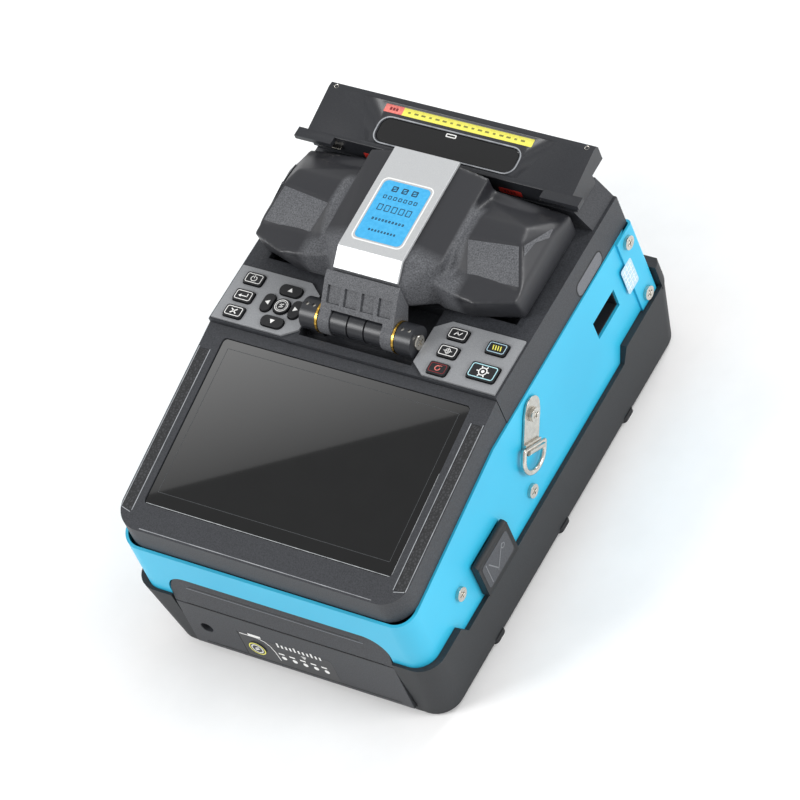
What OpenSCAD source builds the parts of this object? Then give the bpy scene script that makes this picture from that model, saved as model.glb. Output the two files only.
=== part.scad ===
// Bench instrument for joining optical fibres: a sheet-metal shell in a moulded bumper tray, a sloping
// display, two keypads, a hinged windshield over the splicing stage and a hinged oven lid behind it.
// The origin is on the table under the middle of the bumper tray. +X is to the user's right, +Y is
// to the back and +Z is up. Every size is in millimetres.

/* [Shell] */
// Width of the sheet-metal shell
shell_w = 135.4; // [126:0.2:165]
// Depth of the shell, front face to rear face
shell_d = 194.4; // [186:0.2:236]
// Height of the shell's level top edge above the table
shell_h = 79.3; // [76:0.1:96]
// Thickness of the sheet metal
sheet_t = 1.2; // [0.8:0.1:1.6]
// Radius of the shell's two front corners
shell_r = 9; // [7:0.5:11]
// How far the shell's front edge lies below its level top edge
front_drop = 14.4; // [12:0.1:18]
// Slope of the display, in degrees
slope = 10.39; // [8:0.1:12]
// Length of the rear panel's flange over each side
flange_len = 13; // [10:0.5:18]

/* [Bumper tray] */
// How far the tray stands proud of the shell in front
front_bumper = 1.4; // [1.2:0.1:3]
// How far the tray stands proud of the shell behind
rear_bumper = 9; // [6:0.5:14]
// How far the tray stands proud of the shell at each side
side_bumper = 3.1; // [2.6:0.1:5]
// How much narrower the tray is at the bottom, each side
tray_draft = 5.1; // [2:0.1:6]
// Height of the tray's side walls
tray_side_h = 30.5; // [29:0.5:36]
// Height of the tray's corners
tray_corner_h = 37.5; // [37:0.5:42]
// Height of the rear bumper
rear_bumper_h = 49; // [42:0.5:55]
// Corner radius of the tray in plan
tray_r = 10; // [8:0.5:14]
// Height of the rubber feet under the tray
foot_h = 1.5; // [1:0.1:3]
// Thickness of the tray's floor
tray_floor_t = 3; // [2.5:0.1:4]

/* [Display] */
// Width of the display's active area
screen_w = 108; // [90:0.5:112]
// Height of the display's active area
screen_h = 64.8; // [54:0.2:72]
// Border of the cover glass beside the active area
glass_border_x = 3.5; // [2:0.1:5]
// Border of the cover glass in front of the active area
glass_border_front = 5.9; // [3:0.1:7]
// Border of the cover glass behind the active area
glass_border_rear = 3.7; // [2:0.1:5]
// Thickness of the cover glass
glass_t = 1.5; // [1:0.1:2]
// Height of the display moulding's side above the shell
bezel_h = 12.2; // [11:0.1:15]

/* [Keypads] */
// Depth of each keypad plate
pad_d = 26.5; // [25.5:0.1:28]
// Thickness of each keypad plate
pad_t = 1; // [0.6:0.1:1.5]
// How far a key stands proud of its plate
key_rise = 1; // [0.9:0.1:1.6]
// Free space around each key
key_gap = 0.35; // [0.3:0.05:0.5]

/* [Windshield] */
// Radius of the windshield hinge's shaft
shaft_r = 3; // [2:0.1:3.4]
// Radius of the hinge arms and knobs
knob_r = 6.5; // [5.4:0.1:7.8]
// Half width of the windshield's neck
neck_x = 17; // [16:0.5:18]
// Width of the name plate
plate_w = 30; // [26:0.5:31]
// Running clearance between the shaft and the arms
run_gap = 0.06; // [0.02:0.01:0.1]

/* [Oven] */
// Radius of the oven lid's hinge pin
lid_pin_r = 1.5; // [1:0.1:1.8]
// Width of the oven lid's window
window_w = 64; // [50:0.5:80]
// Depth of the oven lid's window
window_d = 11; // [8:0.2:12]

/* [Battery] */
// Width of the battery's front face
battery_w = 103; // [80:0.5:106]
// Height of the battery's front face
battery_h = 45.4; // [38:0.2:55]
// Depth of the battery pack behind its face
pack_d = 74; // [50:1:80]
// Radius of the power inlet's hole
inlet_r = 2.8; // [2.6:0.1:3.4]
// Depth of the power inlet's hole
inlet_depth = 10; // [8:0.5:14]
// Wall of the power inlet's sleeve
inlet_wall = 1.2; // [0.8:0.1:2]

/* [Strap rings] */
// Radius of the ring's wire
ring_wire_r = 1.1; // [0.8:0.05:1.3]
// Inside width of the ring
ring_w = 12.4; // [11:0.2:16]
// Tilt of the strap plate from upright, in degrees
strap_tilt = 33.6; // [0:0.1:60]

/* [Hidden] */

$fn = 64;
fit_gap = 0.15;
big = 400;

// Main planes of the shell
tray_d = shell_d + front_bumper + rear_bumper;
tray_w = shell_w + 2 * side_bumper;
y_front = -tray_d / 2 + front_bumper;
y_back = tray_d / 2 - rear_bumper;
x_side = shell_w / 2;
z_top = shell_h;
z_shelf = 24;
z_shell = z_shelf + 0.1;
z_front_edge = z_top - front_drop;
y_break = y_front + front_drop / tan(slope);
z_floor = foot_h + tray_floor_t;

// Display moulding and the slope's own frame: x, distance up the slope, height over it
z_slope = z_front_edge + bezel_h;
bezel_x = x_side - 0.9;
bezel_lead = 1.5;
bezel_y0 = y_front + bezel_lead;
bezel_top_t = 3;
bezel_wall = 3;
glass_s0 = 13.2;
glass_sink = 0.6;
glass_w = screen_w + 2 * glass_border_x;
glass_len = screen_h + glass_border_front + glass_border_rear;
screen_s0 = glass_s0 + glass_border_front;
bezel_d = (glass_s0 + glass_len) * cos(slope) + 4.84;
bezel_y1 = y_front + bezel_d;
lcd_margin = 5;
lcd_t = 5;
grip_x0 = bezel_x - 5.6;
grip_w = 4.8;
grip_s0 = 9;
grip_len = glass_len - 2.4;
grip_t = 0.8;

// Windshield hinge across the machine
arm_x0 = 12;
washer_t = 1;
side_gap = 0.25;
knuckle_w = 7.2;
knuckle_x0 = neck_x + washer_t + 2 * side_gap;
knuckle_x1 = knuckle_x0 + knuckle_w;
shaft_x = knuckle_x1 - 0.8;

// Top cover
cover_x = x_side - 0.7;
cover_y0 = bezel_y1 + 0.2;
cover_y1 = y_back - sheet_t - 0.2;
cover_t = 2.5;
cover_wall = 1.3;
pocket_wall = 2;
deck_z = z_top + 16.2;
well_x = x_side - 9.7;
well_y0 = bezel_y1 + 34;
well_y1 = y_back - 27.4;
well_z = deck_z - 7;
pan_x = knuckle_x1 + 0.5;
pan_y0 = bezel_y1 + 4;
pan_y1 = well_y0 - 2;
pan_z = deck_z - 5;
housing_y0 = y_back - 19.4;
housing_z = deck_z + 9.5;
housing_x = x_side - 7.7;
trough_z = deck_z + 1.5;
trough_y0 = housing_y0 + 3;
trough_y1 = cover_y1 - 2.4;

// Keypads
pad_x0 = pan_x + 0.4;
pad_x1 = x_side - 1.7;
pad_w = pad_x1 - pad_x0;
pad_x = (pad_x0 + pad_x1) / 2;
pad_y = bezel_y1 + 1 + pad_d / 2;
pad_cut = [6.2, 4.6];
pad_z = deck_z + pad_t;
key_z = pad_z + key_rise;
key_flange_z = deck_z - cover_t - 1.2;
key_flange_t = 0.95;
key_lip = key_gap + 0.1;
board_t = 1.6;
board_z = key_flange_z - 3;
// Every key: its name, centre from its plate's centre (x outwards), width, depth and corner radius
small_key = [8.4, 5.4, 1];
wide_key = [10, 4.8, 2.2];
tall_key = [4.6, 8.4, 2.2];
KEYS_LEFT = [["power", [10.9, 7.8], small_key], ["enter", [10.9, -0.9], small_key],
    ["cancel", [10.9, -8.9], small_key], ["up", [-7.2, 6.9], wide_key],
    ["down", [-7.2, -8.8], wide_key], ["left", [-0.6, -0.9], tall_key],
    ["right", [-13.8, -0.9], tall_key], ["centre", [-7.2, -0.9], [7, 7, 3.4]]];
KEYS_RIGHT = [["arc", [-7.9, 7.8], small_key], ["focus", [-7.9, -0.7], small_key],
    ["reset", [-7.9, -9.2], small_key], ["heat", [10.6, 6.3], [8.8, 5.6, 1]],
    ["set", [10.6, -5.4], [12.4, 7.4, 1]]];

// Windshield hinge
hinge_y = bezel_y1 + 13;
hinge_z = z_top + 19.7;
neck_y1 = hinge_y + 10.9;
neck_z1 = hinge_z + 17.2;
ws_x = x_side - 6.7;
ws_y0 = neck_y1 + 0.1;
ws_y1 = y_back - 22.4;
ws_z0 = deck_z + 0.8;
ws_rim_z = z_top + 31;
ws_cheek_y = ws_y1 - 11;
ws_patch_z = z_top + 38.3;
spine_x0 = plate_w / 2 + 0.5;
spine_x1 = 27.5;
spine_z = z_top + 43.2;
ws_wall = 3;
// Ridge of the windshield from its nose over the knee to its tail: y, z
SPINE = [[ws_y0 + 2, z_top + 36], [ws_y0 + 9, spine_z - 2.2], [ws_y1, spine_z]];
plate_t = 1.4;
plate_seat = 0.05;

// Splicing stage inside the well
stage_y = (well_y0 + well_y1) / 2;
stage_x = 20;
lens_y = 7;
lens_len = 24;
electrode_y = 9.5;
electrode_drop = 2.2;
electrode_r = 1;
v_block_h = 4;
fiber_z = ws_z0 + 6.2;
holder_x0 = 35;
holder_x1 = well_x - 2.2;
holder_d = 20;
holder_z = fiber_z - 0.4;
clamp_t = 3;
clamp_pin_r = 1;
clamp_y = stage_y + holder_d / 2 + 2;

// Oven lid
lid_x = x_side - 6;
lid_y0 = y_back - 19;
lid_y1 = y_back + 4.7;
lid_z0 = housing_z + 0.3;
lid_front_z = housing_z + 10;
lid_back_z = housing_z + 13.6;
lid_skin = 1.9;
pin_y = y_back - 1.4;
pin_z = housing_z + 7;
ear_x0 = lid_x - 11.7;
ear_x1 = lid_x - 5.7;
ear_r = 3.5;
heater_x = window_w / 2 + 2;
window_y = (lid_y0 + lid_y1) / 2 - 3.4;
lid_slope = atan((lid_back_z - lid_front_z) / (lid_y1 - lid_y0));

rear_panel_z = tray_corner_h - 3.5;

// Battery
face_y0 = y_front - 0.8;
face_t = 4.8;
face_z0 = z_floor + 0.5;
face_r = 10;
arch_gap = 0.4;
grip_z = 34;
pack_x = battery_w / 2 - 4;
pack_z1 = 40;
rail_gap = 0.4;
rail_t = 2;
inlet_x = -battery_w / 2 + 9.2;
inlet_z = 18.1;
button_x = inlet_x + 23.4;
button_z = 14.9;
button_r = 4;

// Side windows in the shell's right wall, from its front face and from the table
usb_y0 = y_front + 43;
usb_y1 = y_front + 64.4;
usb_z0 = 33.2;
usb_z1 = 50.2;
usb_y = (usb_y0 + usb_y1) / 2;
usb_depth = 13;
socket_y0 = y_back - 40.8;
socket_y1 = y_back - 23.1;
socket_z0 = z_top - 26;
socket_z1 = z_top - 16;
socket_depth = 12;
// Side screws: distance behind the front face, height
SCREWS_FRONT = [[31.6, 47.1], [87.6, 39.8]];
flange_screw_in = 7.2;
FLANGE_SCREWS = [z_top - 4.9, 42];
screw_r = 1.5;
screw_head_r = 3;
screw_head_t = 1.5;
frame_x1 = x_side - sheet_t - 1.1;
frame_x0 = frame_x1 - 2.4;
frame_z = 46;
main_board_x = x_side - 15.7;

// Strap plates
strap_y = hinge_y - 0.5;
strap_z = z_top - 9.3;
strap_x0 = x_side + 0.3;
strap_t = 1;
loop_r = ring_wire_r + 0.1 + strap_t;
loop_x = strap_x0 + loop_r;
strap_len = 13.4;
flap_pin_x = x_side + 2.1;
flap_r = 1.8;
flap_z1 = usb_z1 + 1;
flap_z0 = usb_z0 - 1;

module rounded_rect(w, d, r) {
    square([w - 2 * r, d], center = true);
    square([w, d - 2 * r], center = true);
    for (x = [-1, 1], y = [-1, 1])
        translate([x * (w / 2 - r), y * (d / 2 - r)]) circle(r);
}

module rounded_block(w, d, h, r) {
    linear_extrude(h) rounded_rect(w, d, r);
}

module block(x0, x1, y0, y1, z0, z1) {
    translate([x0, y0, z0]) cube([x1 - x0, y1 - y0, z1 - z0]);
}

// Sweeps a drawing of the Y-Z plane along X
module along_x(x0, x1) {
    translate([x0, 0, 0]) rotate([90, 0, 90]) linear_extrude(x1 - x0) children();
}

// Sweeps a drawing of the X-Z plane along Y
module along_y(y0, y1) {
    translate([0, y1, 0]) rotate([90, 0, 0]) linear_extrude(y1 - y0) children();
}

module rod_x(x0, x1, y, z, r) {
    translate([x0, y, z]) rotate([0, 90, 0]) cylinder(h = x1 - x0, r = r);
}

module rod_y(y0, y1, x, z, r) {
    translate([x, y0, z]) rotate([-90, 0, 0]) cylinder(h = y1 - y0, r = r);
}

module rod_z(z0, z1, x, y, r) {
    translate([x, y, z0]) cylinder(h = z1 - z0, r = r);
}

module both_sides() {
    children();
    mirror([1, 0, 0]) children();
}

// Places children on the display's slope: x, distance up the slope from the front, height over it
module on_slope() {
    translate([0, y_front, z_slope]) rotate([slope, 0, 0]) children();
}

// Smallest convex solid round a list of points and their mirror images
module wrap_points(points) {
    hull() {
        for (p = points) {
            translate(p) cube(0.02, center = true);
            translate([-p[0], p[1], p[2]]) cube(0.02, center = true);
        }
    }
}

module wrap_half(points) {
    hull() for (p = points) translate(p) cube(0.02, center = true);
}

// Plan of the shell, front corners rounded, open or closed at the back
module shell_plan(inset, y_end) {
    intersection() {
        translate([0, y_front + inset + shell_d / 2])
            rounded_rect(shell_w - 2 * inset, shell_d, shell_r - inset);
        translate([-big / 2, -big]) square([big, big + y_end]);
    }
}

// Front arch that the battery fills
module battery_arch(grow) {
    w = battery_w + 2 * grow;
    h = battery_h + grow;
    r = face_r + grow;
    translate([-w / 2, face_z0 - grow]) square([w, h + grow - r]);
    translate([-w / 2 + r, face_z0 - grow]) square([w - 2 * r, h + grow]);
    for (x = [-1, 1]) translate([x * (w / 2 - r), face_z0 + h - r]) circle(r);
}

module foot_plan(grow) {
    mid_x = tray_w / 2 - tray_draft - 5.4;
    corner_x = mid_x - 4;
    for (x = [-1, 1]) {
        for (y = [-0.57, -0.03, 0.52] * tray_d / 2)
            translate([x * mid_x, y]) rounded_rect(12 + grow, 8 + grow, 2 + grow / 2);
        for (y = [-1, 1])
            translate([x * corner_x, y * (tray_d / 2 - 11.5)])
                rounded_rect(12 + grow, 8 + grow, 2 + grow / 2);
    }
}

// ---- Case ----
module tray_loft() {
    bottom_w = tray_w - 2 * tray_draft;
    bottom_d = tray_d - tray_draft;
    hull() {
        translate([0, 0, foot_h]) rounded_block(bottom_w, bottom_d, 0.05, tray_r, $fn = 32);
        translate([0, 0, tray_corner_h - 0.05]) rounded_block(tray_w, tray_d, 0.05, tray_r, $fn = 32);
    }
}

module base_tray() {
    cavity_x = x_side - 5.2;
    shell_x = x_side + fit_gap;
    rail_x = pack_x + rail_gap;
    side_y0 = y_front + 26;
    side_y1 = y_back - 35.4;
    step_run = 4;
    step_rise = tray_corner_h - tray_side_h;
    color("#3b3d41") {
        difference() {
            union() {
                difference() {
                    tray_loft();
                    along_x(-big, big) polygon([
                        [side_y0, tray_side_h], [side_y0 - step_run, tray_side_h + step_rise],
                        [side_y0 - step_run, big], [side_y1 + step_run, big],
                        [side_y1 + step_run, tray_side_h + step_rise], [side_y1, tray_side_h]
                    ]);
                }
                intersection() {
                    rear_profile();
                    translate([0, 0, z_shelf]) rounded_block(tray_w, tray_d, big, tray_r);
                }
            }
            block(-cavity_x, cavity_x, y_front + 5, y_back - 2, z_floor, big);
            translate([0, 0, z_shelf]) linear_extrude(big)
                intersection() {
                    translate([0, y_front - fit_gap + shell_d / 2])
                        rounded_rect(2 * shell_x, shell_d, shell_r);
                    translate([-big / 2, -big]) square([big, big + y_back + fit_gap]);
                }
            block(-shell_x, shell_x, y_back - 40, y_back + fit_gap, z_shelf, big);
            block(-x_side - 1.2, x_side + 1.2, y_back - flange_len - 0.5, y_back + fit_gap,
                rear_panel_z - 0.5, big);
            along_y(-big, y_front + 8) battery_arch(arch_gap);
            translate([0, 0, -1]) linear_extrude(foot_h + 2) foot_plan(0.2);
        }
        both_sides()
            block(rail_x, rail_x + rail_t, y_front + 8, y_front + pack_d, z_floor, z_floor + 12);
    }
}

module rear_profile() {
    back = tray_d / 2;
    along_x(-tray_w / 2, tray_w / 2) polygon([
        [y_back + fit_gap, tray_corner_h - 2], [back, tray_corner_h - 0.02],
        [back - 0.8, rear_bumper_h - 6], [back - 3.4, rear_bumper_h - 1],
        [y_back + fit_gap, rear_bumper_h]
    ]);
}

module rubber_feet() {
    color("#1d1e20") linear_extrude(foot_h + 0.95) foot_plan(0);
}

module side_hole(y, z, r) {
    both_sides() rod_x(x_side - 12, x_side + 4, y, z, r);
}

module all_side_holes(r) {
    for (s = SCREWS_FRONT) side_hole(y_front + s[0], s[1], r);
    for (z = FLANGE_SCREWS) side_hole(y_back - flange_screw_in, z, r);
    side_hole(strap_y, strap_z, r);
}

module wrap_panel() {
    y_end = y_back - sheet_t - 0.1;
    color("#3fc4e6") difference() {
        translate([0, 0, z_shell]) linear_extrude(z_top - z_shell) difference() {
            shell_plan(0, y_end);
            shell_plan(sheet_t, y_end + 1);
        }
        along_x(-big, big) polygon([
            [y_front - 5, z_front_edge - 5 * tan(slope)], [y_break, z_top], [y_break, z_top + 5],
            [y_front - 5, z_top + 5]
        ]);
        along_y(y_front - 2, y_front + 4) battery_arch(arch_gap);
        block(x_side - 5, x_side + 5, usb_y0, usb_y1, usb_z0, usb_z1);
        block(x_side - 5, x_side + 5, socket_y0, socket_y1, socket_z0, socket_z1);
        all_side_holes(screw_r + 0.1);
    }
}

module rear_panel() {
    flange_t = 1;
    outer_x = x_side + 0.05 + flange_t;
    color("#43cdef") difference() {
        translate([0, 0, rear_panel_z]) linear_extrude(z_top - rear_panel_z) difference() {
            translate([0, y_back - 30]) rounded_rect(2 * outer_x, 60, 2);
            translate([0, y_back - sheet_t - 30]) rounded_rect(2 * x_side + 0.1, 60, 1);
            translate([-big / 2, -big]) square([big, big + y_back - flange_len]);
        }
        for (z = FLANGE_SCREWS) side_hole(y_back - flange_screw_in, z, screw_r + 0.1);
    }
}

module side_screw(y, z, x_seat) {
    rod_x(frame_x0 - 1, x_seat + 0.02, y, z, screw_r);
    difference() {
        rod_x(x_seat, x_seat + screw_head_t, y, z, screw_head_r);
        block(x_seat + 0.9, x_seat + 3, y - 0.35, y + 0.35, z - 1.7, z + 1.7);
        block(x_seat + 0.9, x_seat + 3, y - 1.7, y + 1.7, z - 0.35, z + 0.35);
    }
}

module side_screws() {
    color("#c9c6bf") both_sides() {
        for (s = SCREWS_FRONT) side_screw(y_front + s[0], s[1], x_side);
        for (z = FLANGE_SCREWS) side_screw(y_back - flange_screw_in, z, x_side + 1.05);
        side_screw(strap_y, strap_z, strap_x0 + strap_t + 0.05);
    }
}

module chassis_frame() {
    y0 = y_front + 12;
    y1 = y_back - sheet_t - 3;
    color("#8b8f94") difference() {
        union() {
            both_sides() block(frame_x0, frame_x1, y0, y1, z_shelf, z_top - 2);
            block(-frame_x1, frame_x1, y0 + 8, y1, frame_z, frame_z + 2.5);
        }
        along_x(-big, big) polygon([
            [y0 - 5, z_front_edge - 8], [y_break + 10, z_top - 6], [y_break + 10, big], [y0 - 5, big]
        ]);
        block(x_side - usb_depth - 1, big, usb_y0 - 1, usb_y1 + 1, usb_z0 - 1, usb_z1 + 1);
        block(x_side - socket_depth, big, socket_y0 - 1.5, socket_y1 + 1.5, socket_z0 - 1.5,
            socket_z1 + 1.5);
        all_side_holes(screw_r + 0.02);
    }
}

module main_board() {
    z = frame_z + 5.5;
    y0 = y_front + 26;
    y1 = y0 + 96;
    color("#1f6b3a") block(-main_board_x, main_board_x, y0, y1, z, z + board_t);
    color("#2a2a2c") {
        for (x = [-32, 4, 30], y = [20, 62]) block(x, x + 14, y0 + y, y0 + y + 14, z + board_t,
            z + 2 * board_t);
        for (x = [-1, 1] * (main_board_x - 6), y = [6, 90]) rod_z(frame_z + 2.5, z, x, y0 + y, 3);
    }
}

// ---- Display ----
module monitor_bezel() {
    front_r = 11;
    color("#3a3c40") difference() {
        intersection() {
            along_x(-bezel_x, bezel_x) polygon([
                [bezel_y0, z_front_edge + bezel_lead * tan(slope) + 0.05], [y_break, z_top + 0.05],
                [bezel_y1, z_top + 0.05], [bezel_y1, z_slope + bezel_d * tan(slope)],
                [bezel_y0, z_slope + bezel_lead * tan(slope)]
            ]);
            translate([0, bezel_y0 + bezel_d, 0]) rounded_block(2 * bezel_x, 2 * bezel_d, big, front_r);
        }
        intersection() {
            along_x(-bezel_x + bezel_wall, bezel_x - bezel_wall) polygon([
                [bezel_y0 + bezel_wall, 0], [bezel_y1 - bezel_wall, 0],
                [bezel_y1 - bezel_wall, z_slope + (bezel_d - bezel_wall) * tan(slope) - bezel_top_t],
                [bezel_y0 + bezel_wall, z_slope + (bezel_lead + bezel_wall) * tan(slope) - bezel_top_t]
            ]);
            translate([0, bezel_y0 + bezel_wall + bezel_d, 0])
                rounded_block(2 * (bezel_x - bezel_wall), 2 * bezel_d, big, front_r - bezel_wall);
        }
        on_slope() {
            translate([0, glass_s0 + glass_len / 2, -glass_sink - glass_t])
                rounded_block(glass_w + 0.3, glass_len + 0.3, 9, 2);
            translate([0, screen_s0 + screen_h / 2, -9]) rounded_block(screen_w + 0.6,
                screen_h + 0.6, 18, 0.5);
            both_sides() translate([grip_x0 - 0.1, grip_s0 - 0.1, -grip_t])
                cube([grip_w + 0.2, grip_len + 0.2, 5]);
        }
    }
}

module grip_strips() {
    color("#2d2e31") on_slope() both_sides() translate([grip_x0, grip_s0, -grip_t])
        cube([grip_w, grip_len, grip_t]);
}

module lcd_panel() {
    z = -bezel_top_t - 0.1;
    color("#15171a") on_slope()
        translate([-screen_w / 2 - lcd_margin, screen_s0 - lcd_margin + 1, z - lcd_t])
            cube([screen_w + 2 * lcd_margin, screen_h + 2 * lcd_margin - 2, lcd_t]);
}

module screen_glass() {
    color("#0c0d0f") on_slope() translate([0, glass_s0 + glass_len / 2, -glass_sink - glass_t + 0.02])
        rounded_block(glass_w, glass_len, glass_t - 0.02, 1.9);
}

// ---- Top cover ----
module key_hole(side, key, grow) {
    x = side * (pad_x + key[1][0]);
    translate([x, pad_y + key[1][1]]) rounded_rect(key[2][0] + grow, key[2][1] + grow,
        key[2][2] + grow / 2);
}

module all_key_holes(grow) {
    for (key = KEYS_LEFT) key_hole(-1, key, grow);
    for (key = KEYS_RIGHT) key_hole(1, key, grow);
}

module top_cover() {
    cavity_z = deck_z - cover_t;
    color("#36383c") difference() {
        union() {
            difference() {
                union() {
                    block(-cover_x, cover_x, cover_y0, cover_y1, z_top + 0.05, deck_z);
                    along_y(housing_y0, cover_y1) polygon([
                        [-cover_x, z_top + 5], [-cover_x, deck_z - 2.3], [-housing_x, housing_z],
                        [housing_x, housing_z], [cover_x, deck_z - 2.3], [cover_x, z_top + 5]
                    ]);
                }
                block(-cover_x + cover_wall, cover_x - cover_wall, cover_y0 + cover_wall,
                    cover_y1 - cover_wall, z_top - 1, cavity_z);
            }
            block(-well_x - pocket_wall, well_x + pocket_wall, well_y0 - pocket_wall,
                well_y1 + pocket_wall, well_z - cover_t, cavity_z + 0.5);
            block(-pan_x - pocket_wall, pan_x + pocket_wall, pan_y0 - pocket_wall, pan_y1 + 1,
                pan_z - cover_t, cavity_z + 0.5);
            both_sides() for (y = [-1, 1] * (pad_d / 2 - 2))
                block(pad_x - 1, pad_x + 1, pad_y + y - 1, pad_y + y + 1, board_z + board_t,
                    cavity_z + 0.5);
        }
        block(-well_x, well_x, well_y0, well_y1, well_z, big);
        block(-pan_x, pan_x, pan_y0, pan_y1, pan_z, big);
        block(-lid_x + 4, lid_x - 4, trough_y0, trough_y1, trough_z, big);
        for (y = [-1, 1] * lens_y) rod_z(0, deck_z, 0, stage_y + y, 4.5);
        translate([0, 0, deck_z - cover_t - 1]) linear_extrude(cover_t + 2) all_key_holes(2 * key_gap);
    }
}

module pad_outline() {
    x = pad_w / 2;
    y = pad_d / 2;
    cx = -x + pad_cut[0];
    cy = y - pad_cut[1];
    polygon([[-x, -cy], [cx, -y], [x, -y], [x, y], [cx, y], [-x, cy]]);
}

module keypad_plates() {
    color("#b9bbbd") translate([0, 0, deck_z + 0.02]) linear_extrude(pad_t - 0.02) difference() {
        union() {
            translate([pad_x, pad_y]) pad_outline();
            mirror([1, 0]) translate([pad_x, pad_y]) pad_outline();
        }
        all_key_holes(2 * key_gap);
    }
}

module key_board() {
    color("#1f6b3a") both_sides()
        block(pan_x + pocket_wall + 0.7, cover_x - cover_wall - 0.7, cover_y0 + cover_wall + 0.5,
            well_y0 - pocket_wall - 3.5, board_z, board_z + board_t);
}

module key_cap(side, key) {
    x = side * (pad_x + key[1][0]);
    color("#232427") translate([x, pad_y + key[1][1], 0]) {
        translate([0, 0, key_flange_z]) {
            rounded_block(key[2][0], key[2][1], key_z - key_flange_z, key[2][2]);
            rounded_block(key[2][0], key[2][1] + 2 * key_lip, key_flange_t, key[2][2]);
        }
    }
}

module side_socket() {
    color("#202124") difference() {
        block(x_side - socket_depth, x_side - sheet_t - 0.1, socket_y0 - 1, socket_y1 + 1,
            socket_z0 - 1, socket_z1 + 1);
        block(x_side - socket_depth + 1.5, big, socket_y0 + 0.2, socket_y1 - 0.2, socket_z0 + 0.2,
            socket_z1 - 0.2);
    }
}

module usb_ports() {
    port_w = 12.4;
    port_h = 5;
    y0 = usb_y - port_w / 2;
    color("#b5b8bb") difference() {
        block(x_side - usb_depth, x_side - 1.4, y0 - 0.8, y0 + port_w + 0.8, usb_z0 + 1, usb_z1 - 1);
        for (z = [usb_z0 + 2.2, usb_z1 - 2.2 - port_h])
            block(x_side - usb_depth + 1.4, big, y0, y0 + port_w, z, z + port_h);
    }
}

// ---- Windshield hinge ----
module hinge_knuckles() {
    color("#2f3134") both_sides() difference() {
        union() {
            rod_x(knuckle_x0, knuckle_x1, hinge_y, hinge_z, knob_r);
            block(knuckle_x0, knuckle_x1 - 1, hinge_y - 4, hinge_y + 4, pan_z, hinge_z);
        }
        rod_x(knuckle_x0 - 1, shaft_x + 0.1, hinge_y, hinge_z, shaft_r + 0.02);
        rod_x(shaft_x, knuckle_x1 + 1, hinge_y, hinge_z, 1.6);
        for (x = [knuckle_x0 + 2, knuckle_x1 - 2]) rod_z(hinge_z + shaft_r + 0.3, big, x, hinge_y, 0.8);
    }
}

module hinge_shaft() {
    color("#a9acae") rod_x(-shaft_x, shaft_x, hinge_y, hinge_z, shaft_r);
}

module damper_barrel() {
    end_x = arm_x0 - side_gap;
    groove_x = end_x / 3;
    barrel_r = knob_r - 0.7;
    color("#2b2c2f") difference() {
        union() {
            rod_x(-end_x, end_x, hinge_y, hinge_z, barrel_r);
            block(-end_x + 2, end_x - 2, hinge_y - 3, hinge_y + 3, pan_z, hinge_z);
        }
        rod_x(-end_x - 1, end_x + 1, hinge_y, hinge_z, shaft_r + 0.02);
        for (x = [-groove_x, groove_x]) difference() {
            rod_x(x - 0.35, x + 0.35, hinge_y, hinge_z, knob_r + 1);
            rod_x(x - 0.35, x + 0.35, hinge_y, hinge_z, barrel_r - 0.7);
            block(-big, big, hinge_y - 8, hinge_y + 8, pan_z - 1, hinge_z - 3.2);
        }
    }
}

module brass_washers() {
    x = neck_x + side_gap;
    color("#c8a24a") both_sides() difference() {
        rod_x(x, x + washer_t, hinge_y, hinge_z, knob_r + 0.2);
        rod_x(x - 1, x + washer_t + 1, hinge_y, hinge_z, shaft_r + 0.03);
    }
}

module hinge_screws() {
    color("#c9c6bf") both_sides() {
        difference() {
            union() {
                rod_x(knuckle_x1 + 0.02, knuckle_x1 + 0.9, hinge_y, hinge_z, 3);
                rod_x(shaft_x + 0.15, knuckle_x1 + 0.1, hinge_y, hinge_z, 1.5);
            }
            block(knuckle_x1 + 0.4, big, hinge_y - 0.4, hinge_y + 0.4, hinge_z - 1.8, hinge_z + 1.8);
            block(knuckle_x1 + 0.4, big, hinge_y - 1.8, hinge_y + 1.8, hinge_z - 0.4, hinge_z + 0.4);
        }
        for (x = [knuckle_x0 + 2, knuckle_x1 - 2])
            rod_z(hinge_z + shaft_r + 0.35, hinge_z + knob_r - 0.5, x, hinge_y, 0.75);
    }
}

// ---- Splicing stage ----
module splice_stage() {
    color("#7d8286") difference() {
        union() {
            block(-stage_x, stage_x, stage_y - 12, stage_y + 12, well_z, well_z + 5);
            block(-stage_x, stage_x, stage_y - 3.5, stage_y + 3.5, well_z, fiber_z - v_block_h - 0.05);
            for (y = stage_y + [-1, 1] * electrode_y)
                block(-5, 5, y - 2.5, y + 2.5, well_z, fiber_z - electrode_drop);
        }
        block(-3, 3, stage_y - 8, stage_y + 8, well_z - 1, big);
        for (y = stage_y + [-1, 1] * electrode_y)
            rod_y(y - 3, y + 3, 0, fiber_z - electrode_drop, electrode_r + 0.05);
    }
}

module v_groove_blocks() {
    color("#e8e4da") both_sides() along_x(4, 13) polygon([
        [stage_y - 2.5, fiber_z - v_block_h], [stage_y + 2.5, fiber_z - v_block_h],
        [stage_y + 2.5, fiber_z], [stage_y + 0.5, fiber_z], [stage_y, fiber_z - 0.7],
        [stage_y - 0.5, fiber_z], [stage_y - 2.5, fiber_z]
    ]);
}

module electrodes() {
    color("#9a9da0") for (y = [-1, 1]) translate([0, stage_y, fiber_z - electrode_drop])
        rotate([-90 * y, 0, 0]) {
        translate([0, 0, 5]) cylinder(h = 7, r = electrode_r);
        translate([0, 0, 2]) cylinder(h = 3, r1 = 0.15, r2 = electrode_r);
    }
}

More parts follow.
